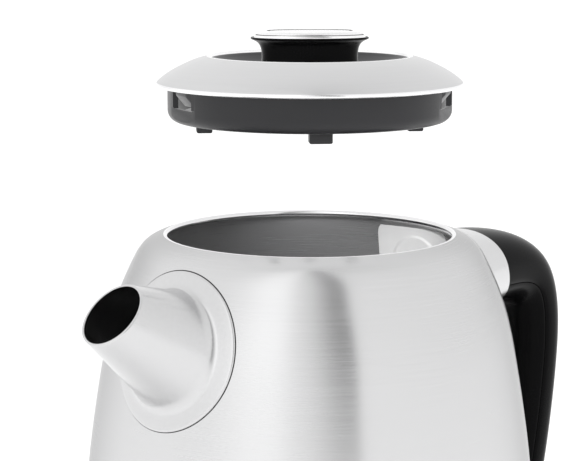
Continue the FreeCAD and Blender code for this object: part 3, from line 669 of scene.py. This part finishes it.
def make_lid_skirt():
    corner = np.array([45.6, 45.3])
    turn = np.radians(np.linspace(0, -90, 9))
    foot = corner + 4.0 * np.column_stack([np.cos(turn), np.sin(turn)])
    inside = [(42.7, 41.3), (42.6, 41.4), (42.6, 43.3), (45.1, 43.3), (47.6, 45.8), (47.6, 56.0)]
    outline = np.vstack([[(49.6, 56.0)], foot, inside])
    outline[:, 1] += LID_ZERO
    skirt = piece("lid_plug", *lathe(outline, segments=256), DARK, "lid", "dark_plastic", ["lid_skirt"],
                  crease=30)
    cutters = []
    for side in (1, -1):
        window = soft_block((40, -WINDOW_HALF, lid_height(WINDOW_LOW)),
                            (60, WINDOW_HALF, lid_height(WINDOW_TOP + 1)), 0.5)
        flat = soft_block((48.7, -14, lid_height(36)), (60, 14, lid_height(WINDOW_LOW + 0.4)), 0.3)
        for verts, faces in (window, flat):
            cutters.append(plain("cutter", turned_about_z(verts, LID_TURN + side * CATCH_ANGLE), faces))
    cut_with(skirt, cutters)
    smooth(skirt, 30)


def make_catch(name, side, node, body):
    """Sprung catch: sloping blade with a turned-in tail."""
    top, low = lid_height(52.8), lid_height(WINDOW_LOW + 1.0)
    outline = rounded([(49.5, top), (47.6, top), (44.9, low + 1.2), (38.6, low + 1.2), (38.6, low),
                       (46.2, low), (49.5, top - 1.0)], [0.3, 0.3, 0.8, 0.2, 0.2, 0.8, 0.3], steps=4)
    rings = []
    for y, shrink in ((-4.0, 0.25), (-3.85, 0.08), (-3.6, 0.0), (3.6, 0.0), (3.85, 0.08), (4.0, 0.25)):
        middle = outline.mean(axis=0)
        ring = outline + (middle - outline) / np.linalg.norm(middle - outline, axis=1)[:, None] * shrink
        rings.append(np.column_stack([ring[:, 0], np.full(len(ring), y), ring[:, 1]]))
    verts, faces = grid(np.array(rings))
    count = len(outline)
    faces.append(list(range(count))[::-1])
    faces.append(list(range(len(verts) - count, len(verts))))
    piece(name, turned_about_z(verts, LID_TURN + side * CATCH_ANGLE), faces, CATCH_GREY, body,
          "dark_plastic", [node], crease=40)


def make_lid_bottom():
    cover = lathe(rounded([(0, SKIRT_FOOT + 0.2), (42.5, SKIRT_FOOT + 0.2), (42.5, SKIRT_FOOT + 2.0),
                           (44.8, SKIRT_FOOT + 2.0), (44.8, SKIRT_FOOT + 2.8), (0, SKIRT_FOOT + 2.8)],
                          [0, 0.5, 0, 0.2, 0.2, 0], closed=False, steps=3), closed=False)
    tabs = []
    for k in range(4):
        verts, faces = soft_block((34.2, -TAB_HALF, SKIRT_FOOT - 4.0),
                                  (39.7, TAB_HALF, SKIRT_FOOT + 1.0), 0.6)
        tabs.append((turned_about_z(verts, LID_TURN + k * math.pi / 2), faces))
    ribs = []
    for radius in (12.0, 30.0):
        high, low = SKIRT_FOOT + 0.6, SKIRT_FOOT - 0.5
        ribs.append(lathe(rounded([(radius, high), (radius, low), (radius + 1.2, low), (radius + 1.2, high)],
                                  [0, 0.3, 0.3, 0], steps=3)))
    piece("lid_inner_cover", *joined([cover] + tabs + ribs), DARK, "lid", "dark_plastic", ["lid_bottom"],
          crease=40)


def knob_ring(half_length, half_width, z, count=128):
    turn = LID_TURN + math.pi / 2
    along = np.array([math.cos(turn), math.sin(turn), 0])
    across = np.array([-math.sin(turn), math.cos(turn), 0])
    return oval_ring((0, 0, lid_height(z)), along, across, half_length, half_width, 2.3, count)


def make_knob():
    neck = smooth_path([(17.0, 9.8, 58.0), (16.8, 9.6, 62.0), (16.9, 9.7, 65.6), (17.8, 10.4, 68.0),
                        (20.1, 12.1, 69.45)], 6)
    rings = [knob_ring(*p) for p in neck]
    for half_length, half_width, z in ((20.52, 12.52, 69.7), (20.6, 12.6, 69.95), (20.52, 12.52, 70.18),
                                       (20.3, 12.3, 70.3), (19.7, 11.7, 70.3), (19.5, 11.5, 70.1)):
        rings.append(knob_ring(half_length, half_width, z))
    piece("knob", *capped(np.array(rings)), GLOSS_BLACK, "lid", "gloss_black", ["knob_body"], crease=50)


def make_knob_pad():
    rings = []
    for half_length, half_width, z in ((19.35, 11.35, 70.1), (19.4, 11.4, 70.5), (19.3, 11.3, 70.9),
                                       (19.1, 11.2, 71.1), (18.9, 11.05, 71.0), (18.7, 10.9, 71.0),
                                       (18.55, 10.75, 71.3)):
        rings.append(knob_ring(half_length, half_width, z))
    for half_length, half_width, z in smooth_path([(18.5, 10.7, 71.5), (17.6, 10.0, 72.05), (16.2, 8.9, 72.4),
                                                   (15.0, 8.0, 72.5)], 5):
        rings.append(knob_ring(half_length, half_width, z))
    groove_from = len(rings) - 1
    for half_length, half_width, z in ((14.9, 7.92, 72.0), (14.1, 7.25, 72.0), (14.0, 7.17, 72.35),
                                       (13.7, 6.95, 72.4), (13.2, 6.6, 72.2), (12.0, 5.9, 72.05),
                                       (8.0, 3.6, 72.0), (4.0, 1.6, 72.0)):
        rings.append(knob_ring(half_length, half_width, z))
    # The groove's faces take the near-black material: painted shade in the engraved groove.
    groove = list(range(4 * 128, 6 * 128)) + list(range(groove_from * 128, (groove_from + 2) * 128))
    piece("knob_pad", *capped(np.array(rings)), SILVER_CAP, "lid", "silver_cap", ["knob_insert"], crease=60,
          second=SHADE_LINE_BLACK, second_faces=groove)


# ---------------------------------------------------------------- handle
HANDLE_ROOT_X, HANDLE_ROOT_Z = 93.1, RIM - 23.5
HANDLE_LINE = [
    (HANDLE_ROOT_X, HANDLE_ROOT_Z, 11.5, 20.0, 15.7), (108.0, RIM - 24.8, -12.0, 18.4, 14.2),
    (120.8, RIM - 29.6, -38.0, 17.2, 13.0), (128.0, RIM - 42.0, -68.0, 16.4, 12.2),
    (129.4, RIM - 58.0, -88.0, 16.0, 11.8), (127.2, 118.0, -96.0, 15.6, 11.6),
    (122.6, 92.0, -102.0, 15.2, 11.4), (115.6, 68.0, -112.0, 14.8, 11.0),
    (105.0, 52.5, -138.0, 14.2, 10.2), (92.0, 45.8, -165.0, 13.6, 9.4), (76.0, 44.0, -178.0, 13.2, 9.0),
]


def section_points(t, half_width, half_thickness, squareness=2.25):
    c = np.sign(np.cos(t)) * np.abs(np.cos(t)) ** (2 / squareness)
    s = np.sign(np.sin(t)) * np.abs(np.sin(t)) ** (2 / squareness)
    return np.column_stack([c * half_width, s * half_thickness])


def handle_rings(t_points, inset, stations):
    """Rings along the grip; t_points are the section's angles, inset its distance inside."""
    rings = []
    for x, z, direction, half_width, half_thickness in stations:
        lean = math.radians(direction)
        outward = np.array([-math.sin(lean), 0, math.cos(lean)])
        flat = section_points(t_points, half_width - inset, half_thickness - inset)
        rings.append(np.array([x, 0, z]) + np.outer(flat[:, 0], (0, 1, 0)) + np.outer(flat[:, 1], outward))
    return np.array(rings)


def handle_stations():
    line = smooth_path(HANDLE_LINE, 10)
    keep = []
    for row in line:
        if row[0] > 80 or row[1] > 60:
            keep.append(row)
    return np.array(keep)


def make_handle():
    stations = handle_stations()
    seam = math.asin(-0.30)
    gap = math.radians(0.7)
    halves = (("handle_shell", "handle_back", seam + gap, math.pi - seam - gap),
              ("handle_cover", "handle_front", math.pi - seam + gap, 2 * math.pi + seam - gap))
    for name, node, start, finish in halves:
        t = np.linspace(start, finish, 56)
        outer = handle_rings(t, 0.0, stations)
        soft_in = handle_rings(t, 0.25, stations)
        inner = handle_rings(t, 2.4, stations)
        rings = []
        for a, b, c in zip(outer, soft_in, inner):
            ring = np.vstack([b[:1], a[1:-1], b[-1:], c[::-1]])
            rings.append(ring)
        verts, faces = grid(np.array(rings))
        count = len(rings[0])
        faces.append(list(range(count))[::-1])
        faces.append(list(range(len(verts) - count, len(verts))))
        piece(name, verts, faces, GLOSS_BLACK, "kettle", "gloss_black", [node], crease=50)


def make_collar():
    """Silver neck that grows out of the vessel's shoulder."""
    count = 128
    lean = math.radians(11.5)
    root = oval_ring((56, 0, RIM - 29.2), (0, 1, 0), (0, 0, 1), 25.6, 23.2, 2.25, count)
    middle = oval_ring((76, 0, RIM - 25.5), (0, 1, 0), (0, 0, 1), 22, 18.3, 2.25, count)
    leaning = (-math.sin(lean), 0, math.cos(lean))
    end = oval_ring((HANDLE_ROOT_X, 0, HANDLE_ROOT_Z), (0, 1, 0), leaning, 20, 15.7, 2.25, count)

    def at(k, w):
        a, b, c = root[k], middle[k], end[k]
        control = 2 * b - (a + c) / 2
        return a * (1 - w) ** 2 + control * 2 * w * (1 - w) + c * w ** 2

    rings = []
    starts = []
    for k in range(count):
        low, high = 0.0, 1.0
        for _ in range(30):
            m = (low + high) / 2
            q = at(k, m)
            if math.hypot(q[0], q[1]) > side_radius(q[2]):
                high = m
            else:
                low = m
        starts.append(high)
    for w in np.linspace(0, 1, 22):
        rings.append([at(k, starts[k] + (1 - starts[k]) * w) for k in range(count)])
    outer = np.array(rings)
    inner = []
    for ring in outer[::-1]:
        middle_point = ring.mean(axis=0)
        toward = middle_point - ring
        toward /= np.linalg.norm(toward, axis=1)[:, None]
        inner.append(ring + toward * 1.6)
    net = np.vstack([outer, np.array(inner)])
    piece("handle_neck", *grid(net, wrap_rings=True), NECK_STEEL, "kettle", "brushed_steel",
          ["handle_collar"], crease=40)
    # Black ring round the neck's root: painted shade standing in for the dark contact line where vessel and
    # neck meet.
    foot = outer[0]
    outwards = foot - foot.mean(axis=0)
    outwards[:, 0] = 0.0
    outwards /= np.linalg.norm(outwards, axis=1)[:, None]
    lift = np.array([1.0, 0, 0])
    shade_ring = [foot - lift * 0.6, foot + lift * 1.1, foot + lift * 1.2 + outwards * 0.3,
            foot + lift * 0.5 + outwards * 0.7, foot - lift * 0.6 + outwards * 0.7]
    piece("neck_shade_ring", *grid(np.array(shade_ring), wrap_rings=True), SHADE_LINE_BLACK, "kettle", "foot_rubber", crease=60)


# ---------------------------------------------------------------- steam cover
COVER_CORNER = 4.5                         # radius of the steam cover's top corners
COVER_HALF = 16.65                         # its half width along the wall
ARCH_RADIUS = 11.4
ARCH_CENTRE = RIM - 18.6


def make_steam_cover():
    """White cover on the back wall with rounded top corners and a raised arch."""
    half = math.radians(15.9)
    top, foot = RIM - 2.9, 150.0

    def front_radius(z):
        return np.interp(-z, [-(RIM - 1.6), -(RIM - 19), -150.0], [59.0, 62.2, 61.5])

    columns, rows = 61, 81
    net = []
    for i in range(rows):
        row = []
        for j in range(columns):
            s = -1 + 2 * j / (columns - 1)
            arc_mm = s * half * 60
            limit = top
            past_corner = abs(arc_mm) - (COVER_HALF - COVER_CORNER)
            if past_corner > 0:
                limit = top - COVER_CORNER + math.sqrt(max(0.0, COVER_CORNER ** 2 - past_corner ** 2))
            z = foot + (limit - foot) * (i / (rows - 1)) ** 0.6
            angle = s * half
            radius = front_radius(z)
            reach = math.hypot(arc_mm, z - ARCH_CENTRE)
            if z > ARCH_CENTRE:
                edge = np.clip((ARCH_RADIUS - reach) / 0.8, 0, 1)
                radius -= 0.6 * (edge * edge * (3 - 2 * edge))
            row.append((radius * math.cos(angle), radius * math.sin(angle), z))
        net.append(row)
    front = np.array(net)
    back = front.copy()
    deep = back[..., :2] / np.linalg.norm(back[..., :2], axis=2)[..., None]
    back[..., :2] += deep * 1.5
    count = rows * columns
    verts = np.vstack([front.reshape(-1, 3), back.reshape(-1, 3)])
    faces = []
    for i in range(rows - 1):
        for j in range(columns - 1):
            a, b = i * columns + j, i * columns + j + 1
            c, d = b + columns, a + columns
            faces.append((a, b, c, d))
            faces.append((d + count, c + count, b + count, a + count))
    rim_loop = [j for j in range(columns)]
    rim_loop += [i * columns + columns - 1 for i in range(1, rows)]
    rim_loop += [(rows - 1) * columns + j for j in range(columns - 2, -1, -1)]
    rim_loop += [i * columns for i in range(rows - 2, 0, -1)]
    for a, b in zip(rim_loop, rim_loop[1:] + rim_loop[:1]):
        faces.append((b, a, a + count, b + count))
    sides = []
    for s in (-1, 1):
        wall = []
        for z in np.linspace(foot, top - 5.0, 24):
            r_in, r_out = front_radius(z) + 0.4, side_radius(z) - SHEET - 0.05
            a0, a1 = s * (half - 0.002), s * (half - 0.025)
            corners = ((r_in, a0), (r_out, a0), (r_out, a1), (r_in, a1))
            wall.append([(r * math.cos(a), r * math.sin(a), z) for r, a in corners])
        sides.append(capped(np.array(wall)))
    floor = []
    for z in (foot, foot + 1.5):
        r0, r1 = 61.7, side_radius(z) - SHEET - 0.05
        arc_points = np.linspace(-half + 0.01, half - 0.01, 24)
        floor.append([(r0 * math.cos(a), r0 * math.sin(a), z) for a in arc_points]
                     + [(r1 * math.cos(a), r1 * math.sin(a), z) for a in arc_points[::-1]])
    floor_net, floor_faces = grid(np.array(floor))
    ring_count = len(floor[0])
    floor_faces.append(list(range(ring_count))[::-1])
    floor_faces.append(list(range(ring_count, 2 * ring_count)))
    piece("steam_panel", *joined([(verts, faces)] + sides + [(floor_net, floor_faces)]), WHITE, "kettle",
          "white_plastic", ["steam_cover"], crease=40)


# ---------------------------------------------------------------- foot ring, base, lever
def make_foot_ring():
    foot = corner_mm("base_ring", False)[2]
    outline = rounded([(77.4, foot + 1.2), (78.4, foot), (79.6, foot + 0.4), (80.5, foot + 3.0),
                       (80.6, BODY_FOOT - 0.3), (79.4, BODY_FOOT - 0.3), (79.4, BODY_FOOT + 6),
                       (77.2, BODY_FOOT + 6)],
                      [0.3, 0.5, 1.0, 2.0, 0.5, 0, 0.3, 0.3], steps=5)
    ring = piece("foot_band", *lathe(outline, segments=256), BLACK, "kettle", "black_plastic", ["base_ring"],
                 crease=40)
    slot = soft_block((70, -9.0, 23.2), (90, 9.0, 32.4), 1.2)
    cut_with(ring, [plain("slot", *slot)])
    smooth(ring, 30)


CORD_BORE_Z = 9.6
CORD_BORE_RADIUS = 5.0


def make_base_top():
    top = corner_mm("base_top", True)[2]
    low = corner_mm("base_top", False)[2]
    outline = rounded([(80, low), (80, top), (74.0, top), (73.2, top - 0.7), (70.6, top - 0.7), (69.8, top),
                       (36, top), (34.5, top - 1.2), (24.3, top - 1.2), (24.3, top - 3.0), (75.6, top - 3.0),
                       (77.8, top - 5.0), (77.8, low)],
                      [0.4, 6.8, 0.3, 0.3, 0.3, 0.3, 0.8, 0.8, 0.3, 0, 1.0, 1.0, 0.2], steps=8)
    base = piece("base_shell", *lathe(outline, segments=256), BLACK, "power_base", "black_plastic",
                 ["base_top"], crease=40)
    bore = capped([oval_ring((0, y, CORD_BORE_Z), (1, 0, 0), (0, 0, 1), CORD_BORE_RADIUS, CORD_BORE_RADIUS,
                             count=48) for y in (68, 90)])
    cut_with(base, [plain("bore", *bore)])
    smooth(base, 30)


PIVOT_X, PIVOT_Z = 70.0, 28.5              # pin of the rocker


def make_lever():
    rings = []
    stations = [(62, 5.3, 1.8, 28.5), (76, 5.5, 1.9, 28.5), (83, 6.6, 2.0, 28.5), (90, 8.0, 2.2, 28.7),
                (96, 8.2, 2.2, 28.9), (101, 7.8, 2.0, 29.3), (102.8, 6.6, 1.4, 29.4)]
    for x, half_width, half_height, z in smooth_path(stations, 6):
        rings.append(oval_ring((x, 0, z), (0, 1, 0), (0, 0, 1), half_width, half_height, 3.6, 48))
    hub_profile = rounded([(1.55, -8.5), (3.4, -8.5), (3.4, 8.5), (1.55, 8.5)], [0, 0.4, 0.4, 0], steps=3)
    hub, hub_faces = lathe(hub_profile, segments=48)
    hub = np.column_stack([hub[:, 0] + PIVOT_X, hub[:, 2], hub[:, 1] + PIVOT_Z])
    piece("rocker", *joined([capped(np.array(rings)), (hub, hub_faces)]), GLOSS_BLACK, "switch",
          "gloss_black", ["switch_lever"], crease=40)
    lens = capped(np.array([oval_ring((92.5, 0, z), (1, 0, 0), (0, 1, 0), a, b, 3.2, 48)
                            for z, a, b in ((30.2, 4.4, 3.9), (31.1, 4.4, 3.9), (31.35, 4.1, 3.6))]))
    piece("lamp_lens", *lens, LENS, "switch", "lens", ["lever_lens"], crease=40)


def make_strainer():
    """Hoop, cross bars and a woven mesh behind the spout."""
    lean = math.radians(15.5)
    axis = np.array([math.cos(lean), 0, -math.sin(lean)])
    up = np.array([math.sin(lean), 0, math.cos(lean)])
    across = np.array([0, 1.0, 0])
    centre = np.array([-66.2, 0, SPOUT_Z])

    def ring_at(radius, depth, count=96):
        return oval_ring(centre + axis * depth, across, up, radius, radius, count=count)

    section = ((18, 0.2), (17.8, 0), (15.7, 0), (15.5, 0.2), (15.5, 1.8), (15.7, 2.0), (17.8, 2.0), (18, 1.8))
    hoop = grid(np.array([ring_at(radius, depth) for radius, depth in section]), wrap_rings=True)
    bars = []
    for along, side in ((across, up), (up, across)):
        ends = [oval_ring(centre + axis * 0.5 + along * d, side, axis, 0.9, 0.45, 4, 16)
                for d in (-16.5, 16.5)]
        bars.append(capped(np.array(ends)))
    piece("strainer_hoop", *joined([hoop] + bars), GREY, "kettle", "grey_plastic", ["strainer_frame"],
          crease=50)
    wires = []
    pitch, wire = 1.25, 0.16
    for along, side in ((across, up), (up, across)):
        offset = -15.0
        while offset <= 15.01:
            half = math.sqrt(max(0.0, 15.6 ** 2 - offset ** 2))
            if half > 1.5:
                start = centre + axis * 1.3 + side * offset
                ends = [oval_ring(start + along * d, side, axis, wire, wire, 2, 6) for d in (-half, half)]
                wires.append(capped(np.array(ends)))
            offset += pitch
    piece("strainer_weave", *joined(wires), MILL_STEEL, "kettle", "mesh_steel", ["strainer_mesh"], crease=60)


# ---------------------------------------------------------------- carried-over CAD nodes
CARRIED = {
    "base_plate": BLACK, "base_feet": RUBBER, "base_screws": SCREW_STEEL, "base_connector": BLACK,
    "base_contacts": BRASS, "terminal_block": GREY, "cord_inlet": RUBBER, "socket_sleeve": BLACK,
    "socket_contacts": BRASS, "steam_tube": WHITE, "element_plate": PLATE_STEEL, "element_seal": SILICONE,
    "heat_diffuser": ALUMINIUM, "heating_element": ALUMINIUM, "control_unit": GREY, "bimetal_discs": BRASS,
    "bottom_cover": BLACK, "bottom_screws": SCREW_STEEL, "handle_bracket": MILL_STEEL,
    "handle_screws": SCREW_STEEL, "lever_pin": SCREW_STEEL, "lid_screws": SCREW_STEEL,
    "knob_screw": SCREW_STEEL, "catch_springs": MILL_STEEL,
}


def finish_carried():
    for node, material in CARRIED.items():
        for slot in frame["nodes"][node].material_slots:
            slot.material = material


def hide_lid_from_reflections():
    """The lid's own pieces throw no reflection on the steel; carried-over CAD nodes stay as they are."""
    for obj in bpy.context.scene.objects:
        if obj.name.startswith(("lid_", "knob", "catch_")) and obj.name not in frame["nodes"]:
            obj.visible_glossy = False


# ---------------------------------------------------------------- studio
def make_floor():
    n = Nodes("pale floor")
    cloud = n.noise(place(n), 3.0, 4.0)
    n.colour(cloud, (0.94, 0.94, 0.94), (0.97, 0.97, 0.97))
    n.link(n.spread(cloud, 0.75, 0.85), n.shader.inputs["Roughness"])
    n.shader.inputs["Emission Color"].default_value = (1.0, 1.0, 1.0, 1.0)
    n.shader.inputs["Emission Strength"].default_value = FLOOR_GLOW
    size = 12.0
    mesh = bpy.data.meshes.new("floor")
    corners = [(-size, -size, 0), (size, -size, 0), (size, size, 0), (-size, size, 0)]
    mesh.from_pydata(corners, [], [(0, 1, 2, 3)])
    mesh.materials.append(n.material)
    floor = bpy.data.objects.new("floor", mesh)
    bpy.context.scene.collection.objects.link(floor)


# Studio surround: bearings in degrees to the right of the camera, as seen from the kettle.
SURROUND_LEVEL = 1.1
ZENITH_LEVEL = 0.9
ZENITH_SPOT = 0.10
FLOOR_GLOW = 0.16
ALL_ROUND = 400.0                          # half height of a flag that runs from floor to zenith
PANEL_BEARING = math.radians(41.7)         # of the steam cover, from the far side
PANEL_LAMP_RISE = math.radians(15.0)
PANEL_LAMP_DISTANCE = 1500.0
PANEL_LAMP_WATTS = 82
FLAGS = [
    # bearing, half width leftwards and rightwards, elevation, half height, darkness (bright if < 0)
    (21.5, 17.0, 5.5, 0.0, ALL_ROUND, 0.66),
    (-140.0, 18.0, 18.0, 0.0, 24.0, 0.15),
    (-27.0, 20.0, 16.0, 0.0, ALL_ROUND, -0.28),
    (110.0, 60.0, 60.0, 0.0, ALL_ROUND, 0.08),
]


def make_world():
    """White surround with soft upright flags, most of them grey and one bright."""
    world = bpy.data.worlds.new("studio")
    bpy.context.scene.world = world
    world.use_nodes = True
    tree = world.node_tree
    background = tree.nodes["Background"]
    coords = tree.nodes.new("ShaderNodeTexCoord").outputs["Generated"]
    split = tree.nodes.new("ShaderNodeSeparateXYZ")
    tree.links.new(coords, split.inputs[0])

    def calc(operation, a, b=None):
        made = tree.nodes.new("ShaderNodeMath")
        made.operation = operation
        for socket, value in zip(made.inputs, (a, b)):
            if value is None:
                continue
            if isinstance(value, (int, float)):
                socket.default_value = value
            else:
                tree.links.new(value, socket)
        return made.outputs[0]

    rise = calc("MULTIPLY", calc("MAXIMUM", split.outputs[2], 0.0), calc("MAXIMUM", split.outputs[2], 0.0))
    level = calc("SUBTRACT", 1.0, calc("MULTIPLY", rise, 1.0 - ZENITH_LEVEL))
    level = calc("SUBTRACT", level, calc("MULTIPLY", calc("POWER", rise, 8.0), ZENITH_SPOT))

    def along(bearing):
        a = math.radians(bearing)
        aim = TO_CAMERA * math.cos(a) + CAMERA_RIGHT * math.sin(a)
        return calc("ADD", calc("MULTIPLY", split.outputs[0], float(aim[0])),
                    calc("MULTIPLY", split.outputs[1], float(aim[1])))

    rise_angle = calc("MULTIPLY", calc("ARCSINE", split.outputs[2]), 180.0 / math.pi)
    for bearing, left_width, right_width, elevation, half_height, darkness in FLAGS:
        away = calc("ARCTAN2", along(bearing + 90.0), along(bearing))
        left = calc("DIVIDE", calc("MINIMUM", away, 0.0), math.radians(left_width))
        right = calc("DIVIDE", calc("MAXIMUM", away, 0.0), math.radians(right_width))
        spread = calc("ADD", calc("POWER", calc("ABSOLUTE", left), 2.0), calc("POWER", right, 4.0))
        above = calc("DIVIDE", calc("ABSOLUTE", calc("SUBTRACT", rise_angle, elevation)), half_height)
        spread = calc("ADD", spread, calc("POWER", above, 2.0))
        bell = calc("POWER", math.e, calc("MULTIPLY", spread, -1.0))
        level = calc("MULTIPLY", level, calc("SUBTRACT", 1.0, calc("MULTIPLY", bell, darkness)))
    tree.links.new(calc("MULTIPLY", level, SURROUND_LEVEL), background.inputs["Strength"])
    background.inputs["Color"].default_value = (1.0, 1.0, 1.0, 1.0)
    bpy.context.scene.view_settings.view_transform = "Standard"


def make_lights():
    def lamp(name, kind, place_mm, aim_mm, power):
        data = bpy.data.lights.new(name, kind)
        data.energy = power
        light = bpy.data.objects.new(name, data)
        light.location = Vector(place_mm) * MM
        light.rotation_euler = (Vector(aim_mm) - Vector(place_mm)).to_track_quat("-Z", "Y").to_euler()
        light.visible_glossy = False
        bpy.context.scene.collection.objects.link(light)
        return data

    top = lamp("top softbox", "AREA", (-100, -150, 1500), (0, 0, 150), 4)
    top.size = 1.4
    # narrow lamp that shines between the raised lid and the rim onto the steam cover's panel
    target = (-TO_CAMERA * math.cos(PANEL_BEARING) + CAMERA_RIGHT * math.sin(PANEL_BEARING)) * 60
    target[2] = RIM - 12
    start = TO_CAMERA * PANEL_LAMP_DISTANCE
    start[2] = target[2] + PANEL_LAMP_DISTANCE * math.tan(PANEL_LAMP_RISE)
    panel = lamp("panel lamp", "SPOT", start, target, PANEL_LAMP_WATTS)
    panel.spot_size = math.radians(2.8)
    panel.spot_blend = 0.6
    panel.shadow_soft_size = 0.03


# ---------------------------------------------------------------- everything in order
make_camera()
make_vessel()
make_spout()
make_spout_shade_ring()
make_lid_ring()
make_lid_dish()
make_lid_skirt()
make_catch("catch_blade_left", -1, "catch_left", "catch_l")
make_catch("catch_blade_right", 1, "catch_right", "catch_r")
make_lid_bottom()
make_knob()
make_knob_pad()
make_collar()
make_handle()
make_steam_cover()
make_foot_ring()
make_base_top()
make_lever()
make_strainer()
finish_carried()
hide_lid_from_reflections()
make_floor()
make_world()
make_lights()
